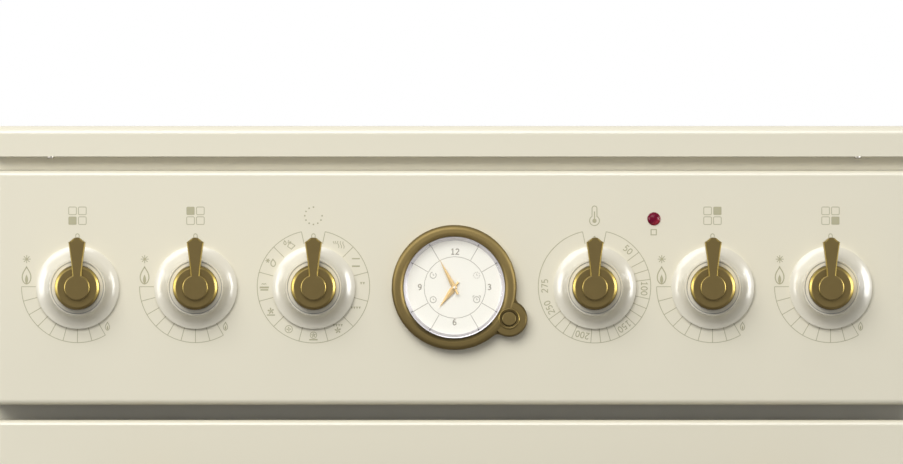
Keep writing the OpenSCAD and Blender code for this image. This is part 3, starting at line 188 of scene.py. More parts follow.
def surface_grain(group, ins, place):
    """Fine relief in two sizes, for enamel, castings and moulded plastic."""
    fine = noise(group, place["Object"], Scale=ins["Scale"], Detail=3.0, Roughness=0.6)
    broad = noise(group, place["Object"], Scale=40.0, Detail=1.0)
    height = add(group, "Mix", data_type="FLOAT", Factor=ins["Waviness"], A=fine, B=broad).outputs["Result"]
    return {"Normal": bump(group, height, ins["Depth"], 1.0)}


def tone_drift(group, ins, place):
    """Slow drift between two colours, for glaze, lacquer and castings."""
    patches = noise(group, place["Object"], Scale=ins["Scale"], Detail=4.0, Roughness=0.55)
    level = maths(group, "MULTIPLY", patches, ins["Contrast"])
    return {"Color": blend(group, level, ins["Base"], ins["Drift"])}


def bevel_wear(group, ins, place):
    """A mask of worn bevels with painted highlight and shade: 1 where a face turns from the front to a side,
    kept whole on the left and right sides as a painted highlight, less over the top, little underneath as
    painted shade.
    """
    facing = split(group, place["Normal"])
    turned_away = remap(group, maths(group, "ABSOLUTE", facing["Y"]), ins["Turned From"], ins["Turned To"])
    # Painted highlight: the mask stays whole on the left and right sides and is lowered over the top and
    # bottom by Ends
    side_highlight = remap(group, maths(group, "ABSOLUTE", facing["X"]), 0.35, 0.70, ins["Ends"])
    # Painted shade: the mask fades on faces that look down
    below = remap(group, facing["Z"], -0.55, 0.05, ins["Underside"])
    dirt = noise(group, place["Object"], Scale=900.0, Detail=2.0)
    patch = maths(group, "MULTIPLY", dirt, ins["Patchiness"])
    keep = maths(group, "SUBTRACT", turned_away, patch, clamp=True)
    return {"Mask": maths(group, "MULTIPLY", keep, maths(group, "MULTIPLY", side_highlight, below))}


def settled_grime(group, ins, place):
    """A mask of painted shade for faces that look up below a height; it darkens brass there."""
    up = remap(group, split(group, place["Normal"])["Z"], 0.05, 0.30)
    depth = maths(group, "SUBTRACT", ins["Below"], split(group, place["Object"])["Z"])
    return {"Mask": maths(group, "MULTIPLY", up, maths(group, "DIVIDE", depth, ins["Reach"], clamp=True))}


def lit_through(group, ins, place):
    """A mask that rises towards the lower right, where light from the upper left gathers in a lens."""
    facing = split(group, place["Normal"])
    lean = maths(group, "SUBTRACT", facing["X"], facing["Z"])
    return {"Mask": remap(group, lean, ins["From"], ins["To"], kind="SMOOTHSTEP")}


def speckle(group, ins, place):
    """Small pale specks in a dark enamel."""
    cells = add(group, "TexVoronoi", Vector=place["Object"], Scale=ins["Scale"])
    return {"Mask": maths(group, "LESS_THAN", cells.outputs["Distance"], ins["Size"])}


def brushing(group, ins, place):
    """Fine parallel lines from rolling or brushing, along X, as a relief and a roughness change."""
    stretched = add(group, "Mapping", Vector=place["Object"], Scale=(0.02, 1.0, 1.0)).outputs["Vector"]
    lines = noise(group, stretched, Scale=ins["Scale"], Detail=2.0)
    return {"Roughness": remap(group, lines, 0.0, 1.0, ins["Low"], ins["High"]),
            "Normal": bump(group, lines, ins["Depth"], 0.6)}


WHITE = (1, 1, 1, 1)
EFFECTS = {
    "Surface Grain": (surface_grain, {"Scale": 400.0, "Waviness": 0.3, "Depth": 20e-6}),
    "Tone Drift": (tone_drift, {"Base": WHITE, "Drift": (0.9, 0.9, 0.9, 1), "Scale": 6.0, "Contrast": 0.5}),
    "Bevel Wear And Highlight": (bevel_wear, {"Turned From": 0.95, "Turned To": 0.75, "Patchiness": 0.2, "Ends": 0.4,
                                "Underside": 0.1}),
    "Lower Lip Shade": (settled_grime, {"Below": 0.0, "Reach": 0.02}),
    "Lit Through": (lit_through, {"From": 0.0, "To": 0.8}),
    "Speckle": (speckle, {"Scale": 700.0, "Size": 0.12}),
    "Brushing": (brushing, {"Scale": 900.0, "Low": 0.3, "High": 0.45, "Depth": 10e-6}),
}


def make_effect(name):
    """The node group of a shared effect."""
    maker, inputs = EFFECTS[name]
    group = bpy.data.node_groups.new(name, "ShaderNodeTree")
    for label, default in inputs.items():
        kind = "NodeSocketColor" if isinstance(default, tuple) else "NodeSocketFloat"
        group.interface.new_socket(label, in_out="INPUT", socket_type=kind).default_value = default
    ins = group.nodes.new("NodeGroupInput")
    results = maker(group, ins.outputs, add(group, "TexCoord").outputs)
    for label in results:
        kind = {"Normal": "NodeSocketVector", "Color": "NodeSocketColor"}.get(label, "NodeSocketFloat")
        group.interface.new_socket(label, in_out="OUTPUT", socket_type=kind)
    outs = group.nodes.new("NodeGroupOutput")
    for label, socket in results.items():
        put(outs, label, socket)
    return group


def effect(tree, name, **values):
    """The outputs of a shared effect, placed in a material with its own values."""
    group = bpy.data.node_groups.get(name) or make_effect(name)
    return add(tree, "Group", node_tree=group, **values).outputs


def rgba(values):
    return (values[0], values[1], values[2], 1.0)


def shade(values, factor):
    """That colour made darker or lighter by a factor."""
    return tuple(min(1.0, v * factor) for v in values[:3])


def new_material(name, **values):
    """A material with one Principled shader whose sockets are set by name."""
    material = bpy.data.materials.new(FINISH_PREFIX + name)
    material.use_nodes = True
    shader = material.node_tree.nodes["Principled BSDF"]
    for key, value in values.items():
        put(shader, key.replace("_", " "), value)
    return material, material.node_tree, shader


def drifting(tree, shader, base, drift=0.93, scale=6.0, contrast=0.6):
    """Feeds the base colour with a slow drift in tone, and gives its socket."""
    tone = effect(tree, "Tone Drift", Base=rgba(base), Drift=rgba(shade(base, drift)), Scale=scale,
                  Contrast=contrast)["Color"]
    put(shader, "Base Color", tone)
    return tone


def grained(tree, shader, scale, depth, waviness=0.3):
    """Feeds the normal with fine relief."""
    grain = effect(tree, "Surface Grain", Scale=scale, Depth=depth, Waviness=waviness)
    put(shader, "Normal", grain["Normal"])


# ---------------------------------------------------------------- finishes


def plain_finishes(s):
    """The finishes of one colour, each with its shader values, colour, drift in tone and grain.

    A drift is (factor of the colour, scale) and maybe a contrast. A grain is (scale, depth in metres) and
    maybe a waviness.
    """
    print_ink = {"Roughness": 0.45}
    return {
        "cream_enamel": ({"Roughness": s.enamel.roughness, "Coat_Weight": 0.5, "Coat_Roughness": 0.06},
                         s.enamel.cream, (0.965, 5.0), (260.0, 12e-6, 0.7)),
        "pearl_enamel": ({"Roughness": 0.34, "Coat_Weight": 1.0, "Coat_Roughness": 0.22,
                          "Specular_IOR_Level": 0.3}, s.enamel.pearl, (0.97, 60.0), (1500.0, 2e-6)),
        "gilt_hands": ({"Metallic": 0.85, "Roughness": 0.42}, s.brass.gilt, (0.85, 500.0), (4000.0, 2e-6)),
        "cast_iron": ({"Roughness": 0.5, "Coat_Weight": 0.15, "Coat_Roughness": 0.35}, (0.022, 0.022, 0.024),
                      (1.8, 25.0), (1100.0, 120e-6, 0.15)),
        "black_plastic": ({"Roughness": 0.5}, (0.020, 0.020, 0.022), (1.3, 40.0), (1600.0, 40e-6, 0.1)),
        "seal_rubber": ({"Roughness": 0.7}, (0.022, 0.022, 0.022), (1.3, 40.0), (900.0, 80e-6, 0.1)),
        "burner_alloy": ({"Metallic": 0.9, "Roughness": 0.42}, (0.60, 0.59, 0.58), (0.7, 45.0),
                         (1800.0, 30e-6, 0.1)),
        "spark_ceramic": ({"Roughness": 0.2, "Coat_Weight": 0.6}, (0.86, 0.85, 0.81), (0.92, 90.0),
                          (700.0, 5e-6)),
        "dial_face": ({"Roughness": 0.5}, (0.98, 0.95, 0.85), (0.99, 40.0), (2500.0, 2e-6)),
        "rock_wool": ({"Roughness": 0.95, "Sheen_Weight": 0.3}, (0.62, 0.52, 0.26), (0.6, 60.0, 0.9),
                      (500.0, 1e-3, 0.4)),
        "shelf_chrome": ({"Metallic": 1.0, "Roughness": 0.1}, (0.80, 0.80, 0.82), (0.9, 40.0), (900.0, 3e-6)),
        "element_steel": ({"Metallic": 0.8, "Roughness": 0.55}, (0.14, 0.13, 0.125), (1.7, 20.0, 0.9),
                          (1500.0, 20e-6)),
        "oven_glass": ({"Roughness": 0.03, "Coat_Weight": 1.0, "Coat_Roughness": 0.01, "Alpha": 0.55},
                       (0.016, 0.017, 0.018), (1.3, 4.0), None),
        "mark_ink": (print_ink, s.marks.ink, (0.94, 400.0), None),
        "dial_ink": (print_ink, s.marks.dial_ink, (0.94, 400.0), None),
        # Painted shade: the colour of the dark rings in the rosettes' grooves
        "groove_shade": (print_ink, (0.34, 0.34, 0.31), (0.94, 400.0), None),
        "tick_ink": ({**print_ink, "Specular_IOR_Level": 0.1}, (0.05, 0.05, 0.055), (0.94, 400.0), None),
    }


def plain_finish(name, values, base, drift, grain):
    material, tree, shader = new_material(name, **values)
    drifting(tree, shader, base, *drift)
    if grain:
        grained(tree, shader, *grain)
    return material


# Brushed metals: colour, lowest and highest roughness
BRUSHED_METALS = {
    "zinc_sheet": ((0.52, 0.53, 0.54), 0.30, 0.46),
    "plated_screws": ((0.36, 0.34, 0.30), 0.25, 0.40),
    "plug_brass": ((0.56, 0.42, 0.18), 0.22, 0.35),
    "stem_steel": ((0.50, 0.50, 0.50), 0.15, 0.28),
    "chapter_ring": ((0.58, 0.56, 0.59), 0.32, 0.42),
}


def brushed_metal(name, base, low, high):
    material, tree, shader = new_material(name, Metallic=1.0)
    drifting(tree, shader, base, 0.82, 30.0)
    for label, socket in effect(tree, "Brushing", Low=low, High=high).items():
        put(shader, label, socket)
    return material


def antique_brass(s, name="antique_brass", polish_and_highlight=1.0, lift=1.0, dull=0.38):
    """Patinated brass, polished where worn on its bevels, with a painted highlight on their left and right
    sides and painted shade under them; lift lightens the patina, dull roughens it.
    """
    polished = 0.32
    material, tree, shader = new_material(name, Metallic=1.0)
    tone = drifting(tree, shader, shade(s.brass.patina, lift), 0.8, 120.0, 0.7)
    # The bevel mask is partly polish from use and partly painted highlight and shade
    mask = effect(tree, "Bevel Wear And Highlight", Turned_From=0.97, Turned_To=0.80, Patchiness=0.15, Ends=0.16,
                  Underside=0.06)["Mask"]
    share = maths(tree, "MULTIPLY", mask, polish_and_highlight)
    put(shader, "Base Color", blend(tree, share, tone, rgba(s.brass.bright)))
    put(shader, "Roughness", remap(tree, share, 0.0, 1.0, dull, polished))
    grained(tree, shader, 2200.0, 3e-6)
    return material


def bezel_brass(s):
    """The clock's brass with painted light and shade: darker towards the bottom and on the upward faces of
    its ring's lower lip, lighter towards the top.
    """
    material = antique_brass(s, "bezel_brass", polish_and_highlight=0.10, lift=1.1, dull=0.5)
    tree = material.node_tree
    shader = tree.nodes["Principled BSDF"]
    middle = joint_place("minute_turn").z
    brass = shader.inputs["Base Color"].links[0].from_socket
    # Painted shade: upward faces low on the ring turn to a darker patina colour
    lip_shade_mask = effect(tree, "Lower Lip Shade", Below=middle - 5 * MM, Reach=22 * MM)["Mask"]
    lip_shaded_brass = blend(tree, lip_shade_mask, brass, rgba(shade(s.brass.patina, 0.45)))
    # Painted light and shade: the colour is dimmed towards the bottom and brightened towards the top
    height = split(tree, add(tree, "TexCoord").outputs["Object"])["Z"]
    height_shading = remap(tree, height, middle - 32 * MM, middle + 36 * MM, 0.74, 1.2)
    dim = add(tree, "VectorMath", lip_shaded_brass, operation="SCALE", Scale=height_shading)
    put(shader, "Base Color", dim.outputs["Vector"])
    return material


def handle_brass(s):
    return antique_brass(s, "handle_brass", polish_and_highlight=0.30, lift=1.3)


def ruby_lens(s):
    material, tree, shader = new_material("ruby_lens", Roughness=0.10, Specular_IOR_Level=0.12)
    lit = effect(tree, "Lit Through", From=0.05, To=0.95)["Mask"]
    base = drifting(tree, shader, (0.17, 0.0, 0.022), 0.6, 300.0)
    put(shader, "Base Color", blend(tree, lit, base, (0.46, 0.030, 0.060, 1)))
    return material


def clear_glass(s):
    """A thin clear sheet that shows what lies behind it."""
    material, tree, shader = new_material("clear_glass", Roughness=0.08, Coat_Weight=0.2, Alpha=0.04)
    tone = effect(tree, "Tone Drift", Base=(0.9, 0.93, 0.92, 1), Drift=(0.85, 0.9, 0.88, 1), Scale=3.0)
    put(shader, "Base Color", tone["Color"])
    return material


def oven_enamel(s):
    """Dark enamel with pale specks."""
    material, tree, shader = new_material("oven_enamel", Roughness=0.22, Coat_Weight=0.5)
    specks = effect(tree, "Speckle", Scale=420.0, Size=0.13)["Mask"]
    put(shader, "Base Color", blend(tree, specks, rgba(s.enamel.oven), (0.42, 0.46, 0.52, 1)))
    grained(tree, shader, 300.0, 10e-6, 0.6)
    return material


SPECIAL_FINISHES = {maker.__name__: maker for maker in (
    antique_brass, bezel_brass, handle_brass, ruby_lens, clear_glass, oven_enamel)}


def finish(name):
    """The finish of that name, made the first time it is asked for."""
    s = bpy.context.scene.cooker
    made = bpy.data.materials.get(FINISH_PREFIX + name)
    if made:
        return made
    if name in SPECIAL_FINISHES:
        return SPECIAL_FINISHES[name](s)
    if name in BRUSHED_METALS:
        return brushed_metal(name, *BRUSHED_METALS[name])
    return plain_finish(name, *plain_finishes(s)[name])


def coat(name, *nodes):
    """Gives CAD nodes the finish of that name."""
    for node in nodes:
        part = NODES[node]
        part.data.materials.clear()
        part.data.materials.append(finish(name))


# ---------------------------------------------------------------- mesh helpers


def polar(radius, angle, x=0.0, z=0.0):
    """The point at that radius from x, z, at an angle in degrees from X towards Z."""
    t = math.radians(angle)
    return (x + radius * math.cos(t), z + radius * math.sin(t))


def turned(points, tilt, x, z):
    """The points turned by tilt degrees and moved to x, z."""
    c, s = math.cos(math.radians(tilt)), math.sin(math.radians(tilt))
    return [(x + px * c - pz * s, z + px * s + pz * c) for px, pz in points]


def at(centre, x, front, z):
    """The point x to the right of the centre, front before it and z above it, in mm."""
    return centre + Vector((x, -front, z)) * MM


def new_mesh(name, bm):
    """A mesh from a bmesh, which is freed."""
    mesh = bpy.data.meshes.new(name)
    bm.to_mesh(mesh)
    bm.free()
    return mesh


def new_object(name, data):
    """An object in the scene with that data."""
    made = bpy.data.objects.new(name, data)
    bpy.context.scene.collection.objects.link(made)
    return made


def make_piece(name, bm, finish_name, smooth_angle=35.0, body="carcass"):
    """Turns a bmesh into a piece that rides on a body."""
    bmesh.ops.recalc_face_normals(bm, faces=bm.faces)
    mesh = new_mesh(name, bm)
    for face in mesh.polygons:
        face.use_smooth = smooth_angle > 0
    if smooth_angle > 0:
        mesh.set_sharp_from_angle(angle=math.radians(smooth_angle))
    mesh.materials.append(finish(finish_name))
    piece = new_object(name, mesh)
    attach(piece, body)
    return piece


def lathe(bm, centre, profile, segments=96):
    """A turned form with its axis along -Y at centre; the profile lists (radius, height in front) in mm."""
    rings = []
    for radius, height in profile:
        count = segments if radius > 0 else 1
        points = (polar(radius, 360 * i / segments) for i in range(count))
        rings.append([bm.verts.new(at(centre, x, height, z)) for x, z in points])
    for a, b in zip(rings, rings[1:]):
        for i in range(segments):
            j = (i + 1) % segments
            corners = [a[i % len(a)], a[j % len(a)], b[j % len(b)], b[i % len(b)]]
            unique = list(dict.fromkeys(corners))
            if len(unique) > 2:
                bm.faces.new(unique)


def turned_piece(name, centre, profile, finish_name, segments=96, smooth_angle=35.0,
                 body="carcass"):
    """A turned form as a piece."""
    bm = bmesh.new()
    lathe(bm, centre, profile, segments)
    return make_piece(name, bm, finish_name, smooth_angle, body)


def loose_boxes(node):
    """The boxes (lowest, highest corner) of the separate solids in a CAD node."""
    mesh = NODES[node].data
    key = [tuple(round(c, 5) for c in v.co) for v in mesh.vertices]
    parent = {k: k for k in key}

    def root(k):
        while parent[k] != k:
            parent[k] = parent[parent[k]]
            k = parent[k]
        return k

    for polygon in mesh.polygons:
        first = root(key[polygon.vertices[0]])
        for index in polygon.vertices[1:]:
            parent[root(key[index])] = first
    found = {}
    for k in parent:
        lo, hi = found.setdefault(root(k), (Vector(k), Vector(k)))
        for axis in range(3):
            lo[axis] = min(lo[axis], k[axis])
            hi[axis] = max(hi[axis], k[axis])
    return sorted(found.values(), key=lambda pair: tuple(pair[0]))


# ---------------------------------------------------------------- printed marks


# Digits as strokes in a box of height 1
DIGIT_W = 0.6
DIGIT_PITCH = 0.77
DIGIT_SIX = [(0.48, 0.94), (0.32, 1.0), (0.16, 0.86), (0.07, 0.55), (0.06, 0.28), (0.14, 0.08), (0.30, 0.0),
             (0.47, 0.09), (0.54, 0.30), (0.46, 0.51), (0.30, 0.59), (0.12, 0.48)]
DIGITS = {
    "0": [[(0.30, 0.0), (0.47, 0.08), (0.56, 0.33), (0.56, 0.67), (0.47, 0.92), (0.30, 1.0), (0.13, 0.92),
           (0.04, 0.67), (0.04, 0.33), (0.13, 0.08), (0.30, 0.0)]],
    "1": [[(0.10, 0.80), (0.33, 1.0), (0.33, 0.0)], [(0.08, 0.0), (0.56, 0.0)]],
    "2": [[(0.05, 0.80), (0.12, 0.94), (0.30, 1.0), (0.47, 0.93), (0.53, 0.76), (0.45, 0.54), (0.05, 0.0),
           (0.57, 0.0)]],
    "3": [[(0.06, 0.93), (0.28, 1.0), (0.47, 0.91), (0.50, 0.71), (0.40, 0.57), (0.22, 0.53)],
          [(0.22, 0.53), (0.45, 0.47), (0.54, 0.27), (0.45, 0.07), (0.26, 0.0), (0.04, 0.06)]],
    "5": [[(0.50, 1.0), (0.12, 1.0), (0.09, 0.54), (0.28, 0.61), (0.46, 0.53), (0.54, 0.31), (0.46, 0.09),
           (0.27, 0.0), (0.05, 0.06)]],
    "6": [DIGIT_SIX],
    "7": [[(0.04, 1.0), (0.56, 1.0), (0.22, 0.0)]],
    "9": [[(DIGIT_W - x, 1.0 - z) for x, z in DIGIT_SIX]],
}

# Fills lie this many mm in front of the lines
FILL_LIFT = 0.03
# The longest mitre of a stroke's corner, as a share of its half width
MITRE_LIMIT = 2.0
ARC_STEP = 4
RING_SIDES = 28
DOT_SIDES = 14


class Marks:
    """Printed marks in front of a plane, drawn in millimetres round a centre, X right and Z up."""

    def __init__(self, centre, settings):
        self.bm = bmesh.new()
        self.centre = centre
        self.line = settings.line
        self.lift = settings.lift

    def vert(self, x, z, over=0.0):
        return self.bm.verts.new(at(self.centre, x, self.lift + over, z))

    def fill(self, points):
        """A filled outline, just in front of the lines."""
        self.bm.faces.new([self.vert(x, z, FILL_LIFT) for x, z in points])

    def stroke(self, points, width=None, closed=False):
        """A line of even width through the points."""
        if closed and points[0] == points[-1]:
            points = points[:-1]
        half = (width or self.line) / 2
        count = len(points)
        rows = []
        for i, (x, z) in enumerate(points):
            before = points[i - 1] if i > 0 or closed else points[i]
            after = points[(i + 1) % count] if i < count - 1 or closed else points[i]
            a = Vector((x - before[0], z - before[1]))
            b = Vector((after[0] - x, after[1] - z))
            a = a.normalized() if a.length else b.normalized()
            b = b.normalized() if b.length else a
            along = (a + b).normalized()
            reach = half / max(1 / MITRE_LIMIT, along.dot(b))
            rows.append((self.vert(x - along.y * reach, z + along.x * reach),
                         self.vert(x + along.y * reach, z - along.x * reach)))
        for i in range(count if closed else count - 1):
            a, b = rows[i], rows[(i + 1) % count]
            self.bm.faces.new((a[0], b[0], b[1], a[1]))

    def outline(self, points, width=None):
        self.stroke(points, width, closed=True)

    def bar(self, x, z, length_mm, width):
        """A level line, given by its middle."""
        self.stroke([(x - length_mm / 2, z), (x + length_mm / 2, z)], width)

    def arc(self, x, z, radius, start, end, width=None):
        steps = max(4, int(abs(end - start) / ARC_STEP))
        self.stroke([polar(radius, start + (end - start) * i / steps, x, z) for i in range(steps + 1)], width)

    def ring(self, x, z, radius, width=None):
        self.outline([polar(radius, 360 * i / RING_SIDES, x, z) for i in range(RING_SIDES)], width)

    def dot(self, x, z, radius):
        self.fill([polar(radius, 360 * i / DOT_SIDES, x, z) for i in range(DOT_SIDES)])

    def radial(self, angle, inner, outer, width=None):
        self.stroke([polar(inner, angle), polar(outer, angle)], width)

    def numerals(self, text, x, z, height, tilt=0.0, width=0.5, broad=1.0):
        """Generic numerals, centred at x, z and turned by tilt degrees."""
        start = -(DIGIT_W + DIGIT_PITCH * (len(text) - 1)) / 2
        for i, digit in enumerate(text):
            for line in DIGITS[digit]:
                points = [((start + DIGIT_PITCH * i + px) * height * broad, (pz - 0.5) * height)
                          for px, pz in line]
                self.stroke(turned(points, tilt, x, z), width, line[0] == line[-1])

    def to_piece(self, name, ink="mark_ink"):
        return make_piece(name, self.bm, ink, 0)


def drop_outline(width, height, steps=20):
    """A flame or drop: a round belly and a pointed top, about its middle."""
    points = []
    for i in range(steps):
        t = 2 * math.pi * i / steps - math.pi / 2
        rise = (1 + math.sin(t)) / 2
        points.append((width / 2 * math.cos(t) * (1 - rise ** 3) ** 0.9, height * (rise - 0.5)))
    return points


def draw_drop(marks, x, z, width, height, line=None, tilt=0.0):
    """A drop, filled unless a line width is given."""
    points = turned(drop_outline(width, height), tilt, x, z)
    if line:
        marks.outline(points, line)
    else:
        marks.fill(points)


def rounded_square(side, x, z, radius=0.7):
    half = side / 2 - radius
    points = []
    for corner, (sx, sz) in enumerate(((1, 1), (-1, 1), (-1, -1), (1, -1))):
        points += [polar(radius, 90 * corner + 30 * step, x + sx * half, z + sz * half) for step in range(4)]
    return points


def draw_star(marks, x, z, radius, spokes=8, width=0.5):
    """A spark of even spokes, drawn as one outline."""
    half = width / 2
    valley = half / math.sin(math.pi / spokes)
    outline = []
    for i in range(spokes):
        angle = 360 * i / spokes
        outline += [polar(valley, angle - 180 / spokes, x, z),
                    *turned([(radius, -half), (radius, half)], angle, x, z)]
    marks.fill(outline)


def draw_fan(marks, x, z, radius, blades=5, turn=20.0):
    """A fan symbol of curved blades round a hub."""
    blade = [(0, 0), (radius * 0.45, radius * 0.32), (radius * 0.98, radius * 0.20),
             (radius * 0.9, -radius * 0.14), (radius * 0.3, -radius * 0.08)]
    for i in range(blades):
        marks.fill(turned(blade, 360 * i / blades + turn, x, z))


def draw_heat_row(marks, x, z, count, pitch=1.7):
    """A row of small triangles pointing down, the sign of a grill."""
    for i in range(count):
        cx = x + (i - (count - 1) / 2) * pitch
        marks.fill([(cx - 0.72, z + 0.8), (cx, z - 0.9), (cx + 0.72, z + 0.8)])


def draw_wave(marks, x, z, height, tilt, width):
    """An upright S of rising heat."""
    wave = [(0.36 * math.sin(math.pi * t / 4), height * (t / 8 - 0.5)) for t in range(9)]
    marks.stroke(turned(wave, tilt, x, z), width)


def draw_zero(marks):
    """The off position's zero, a long oval half under the lever's tip."""
    radius, low, high = 1.12, 30.6, 33.4
    marks.outline([polar(radius, a, 0, high if a < 181 else low) for a in range(0, 360, 20)], 0.5)


# Radii of the scales' lines and height of the signs above a knob, in mm
TICK_FOOT = 27.2
GAS_SCALE = 36.5
OVEN_SCALE = 36.7
GAP_FOOT = 28.6
GAP_ANGLES = (78, 102.3)
SIGN_Z = 46.3
BURNER_CELL = 5.0
BURNER_STEP = 3.2
FILLED_CELL = {"front_left": (-1, -1), "rear_left": (-1, 1), "rear_right": (1, 1), "front_right": (1, -1)}


def draw_gas_dial(marks, burner):
    """The quarter round scale, the flames, the spark and the sign of the burner that the knob feeds."""
    marks.arc(0, 0, GAS_SCALE, 180, 300)
    for i in range(9):
        marks.radial(180 + 15 * i, TICK_FOOT, GAS_SCALE)
    # A large flame, a small flame and the spark
    draw_drop(marks, -33.2, 7.4, 6.2, 11.2, 0.7)
    draw_drop(marks, -33.2, 5.1, 2.3, 6.0)
    draw_drop(marks, 19.6, -25.8, 3.0, 5.2, 0.5)
    draw_drop(marks, 19.6, -26.6, 1.2, 2.8)
    draw_star(marks, -33.1, 18.0, 2.6)
    draw_zero(marks)
    for sx in (-1, 1):
        for sz in (-1, 1):
            x, z = sx * BURNER_STEP, SIGN_Z + sz * BURNER_STEP
            if (sx, sz) == FILLED_CELL[burner]:
                marks.fill(rounded_square(BURNER_CELL + 0.35, x, z))
            else:
                marks.outline(rounded_square(BURNER_CELL, x, z), 0.45)


def draw_open_ring(marks):
    """The scale's ring with its gap at the top."""
    right, left = GAP_ANGLES
    marks.arc(0, 0, OVEN_SCALE, left, 360 + right)
    for angle in GAP_ANGLES:
        marks.radial(angle, GAP_FOOT, OVEN_SCALE)


# Level lines of the function signs: middle x, z, length and width in mm
FUNCTION_BARS = (
    (27.7, 18.3, 5.2, 0.75), (27.7, 13.4, 5.2, 1.0),  # upper and lower heat
    (0.0, -34.6, 5.4, 0.9), (-27.7, -18.5, 5.2, 0.75),  # lower heat with the fan
    (-32.1, -0.5, 6.0, 1.15), (-32.05, -2.05, 5.1, 0.95),  # baking stone
)


def draw_function_dial(marks):
    draw_open_ring(marks)
    for i in range(10):
        marks.radial(45 - 30 * i, TICK_FOOT, OVEN_SCALE)
    for bar in FUNCTION_BARS:
        marks.bar(*bar)
    # Thawing
    for i in range(2):
        draw_wave(marks, 13.2 + 1.3 * i, 28.8, 1.9, 0, 0.4)
    for i in range(3):
        draw_wave(marks, 16.2 + 1.7 * i, 27.6 - 0.2 * i, 4.6, 4, 0.45)
    # Small grill, large grill, grill with the fan
    draw_heat_row(marks, 32.0, 2.2, 2)
    draw_heat_row(marks, 27.6, -13.8, 4)
    draw_heat_row(marks, 15.9, -25.2, 4)
    draw_fan(marks, 15.9, -28.4, 2.2)
    # Fan heat with lower heat, fan heat, fan with lower heat
    marks.ring(0, -31.6, 2.1, 0.45)
    draw_fan(marks, 0, -31.6, 1.6)
    marks.ring(-16.1, -27.7, 2.35, 0.45)
    draw_fan(marks, -16.1, -27.7, 1.6, 4, -4.0)
    draw_fan(marks, -27.8, -15.8, 2.2)
    # Heat rising over the baking stone
    marks.stroke([(-33.9, 1.5), (-33.1, 2.1), (-32.3, 1.5), (-31.5, 2.1), (-30.7, 1.5)], 0.45)
    # Keeping warm, and steam over a pot
    draw_star(marks, -29.8, 17.0, 1.5, 6, 0.55)
    draw_drop(marks, -26.3, 15.6, 3.3, 4.7, 0.6, 4)
    draw_drop(marks, -18.6, 28.7, 1.7, 2.6, 0.5, 10)
    pot_tilt = -35
    marks.outline(turned([(-2.1, 1.6), (-1.5, -1.6), (1.5, -1.6), (2.1, 1.6)], pot_tilt, -14.7, 26.7), 0.5)
    for i in range(2):
        draw_wave(marks, -16.4 + 1.3 * i, 29.4 - 0.7 * i, 1.9, pot_tilt, 0.4)
    draw_zero(marks)
    # The sign above the knob: a ring of dots
    for i in range(10):
        marks.dot(*polar(5.65, 90 + 30 * i, 0, SIGN_Z), 0.55)


TEMPERATURES = range(50, 260, 10)
NUMERAL_ANGLES = {50: 47.8, 100: -2.0, 150: -53.2, 200: -104.1, 250: -155.3, 275: 179.1}
FIRST_TEMPERATURE_ANGLE = 48.0
ANGLE_PER_DEGREE = 1.0125
NUMERAL_RADIUS = 32.5


def draw_thermostat_dial(marks):
    draw_open_ring(marks)
    for degrees in TEMPERATURES:
        if degrees not in NUMERAL_ANGLES:
            angle = FIRST_TEMPERATURE_ANGLE - ANGLE_PER_DEGREE * (degrees - TEMPERATURES[0])
            marks.radial(angle, TICK_FOOT, OVEN_SCALE)
    for degrees, angle in NUMERAL_ANGLES.items():
        marks.numerals(str(degrees), *polar(NUMERAL_RADIUS, angle), 3.9, angle - 90, 0.6, 1.05)
    marks.dot(0, 32.4, 0.75)
    draw_thermometer(marks)


def draw_thermometer(marks):
    """A bulb and a tube that grows out of it, with the rising column inside."""
    bulb_z, bulb, neck, top = 43.1, 3.2, 1.6, 51.1
    flare = math.degrees(math.asin(neck / bulb))
    outline = [polar(bulb, 90 - a, 0, bulb_z) for a in range(int(flare), int(360 - flare) + 1, 12)]
    outline += [polar(neck, a, 0, top) for a in range(180, -1, -20)]
    marks.outline(outline, 0.55)
    marks.dot(0, bulb_z - 0.1, 1.4)
    marks.stroke([(0, bulb_z + 0.9), (0, top - 2.0)], 0.7)


# ---------------------------------------------------------------- operators


# The print sits this many mm off the knobs' axes
PRINT_RISE = 0.5
PRINT_SHIFT = -0.15


def joint_place(name, shift=0.0, rise=0.0):
    """A joint's point on the fascia's front plane, moved sideways and up by that many mm."""
    place = JOINTS[name]["pos_m"]
    return Vector((place[0] + shift * MM, FACE_Y, place[2] + rise * MM))


def on_face(node):
    """The middle of a CAD node, taken to the fascia's front plane."""
    middle = sum(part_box(node), Vector()) / 2
    return Vector((middle.x, FACE_Y, middle.z))


class COOKER_OT_enamel(bpy.types.Operator):
    """Coats the hob, the fascia, the door, the drawer and the casing with cream enamel"""

    bl_idname = "cooker.enamel"
    bl_label = "Enamelled casing"

    def execute(self, context):
        coat("cream_enamel", "hob_top", "fascia", "front_frame", "plinth", "door_panel", "drawer_front",
             "side_panels")
        return {"FINISHED"}


class COOKER_OT_knobs(bpy.types.Operator):
    """Finishes the six rosettes, the lever knobs and their spindles, with painted shade in the rosettes'
    grooves
    """

    bl_idname = "cooker.knobs"
    bl_label = "Lever knobs"

    def execute(self, context):
        coat("pearl_enamel", "knob_rosettes")
        # Painted shade: a dark ring laid in each rosette's groove, where the groove lies in shadow
        inner, outer, foot, front = 16.86, 17.24, 11.5, 11.9
        groove = [(inner, foot), (inner, front), (outer, front), (outer, foot), (inner, foot)]
        bm = bmesh.new()
        for joint in ("function_turn", "thermostat_turn", *("tap_turn_" + name for name in GAS_KNOBS)):
            lathe(bm, joint_place(joint), groove)
        make_piece("rosette_shade_rings", bm, "groove_shade", 0)
        coat("antique_brass", *("knob_" + name for name in (*GAS_KNOBS, "function", "thermostat")))
        coat("plug_brass", *("tap_plug_" + name for name in GAS_KNOBS))
        return {"FINISHED"}


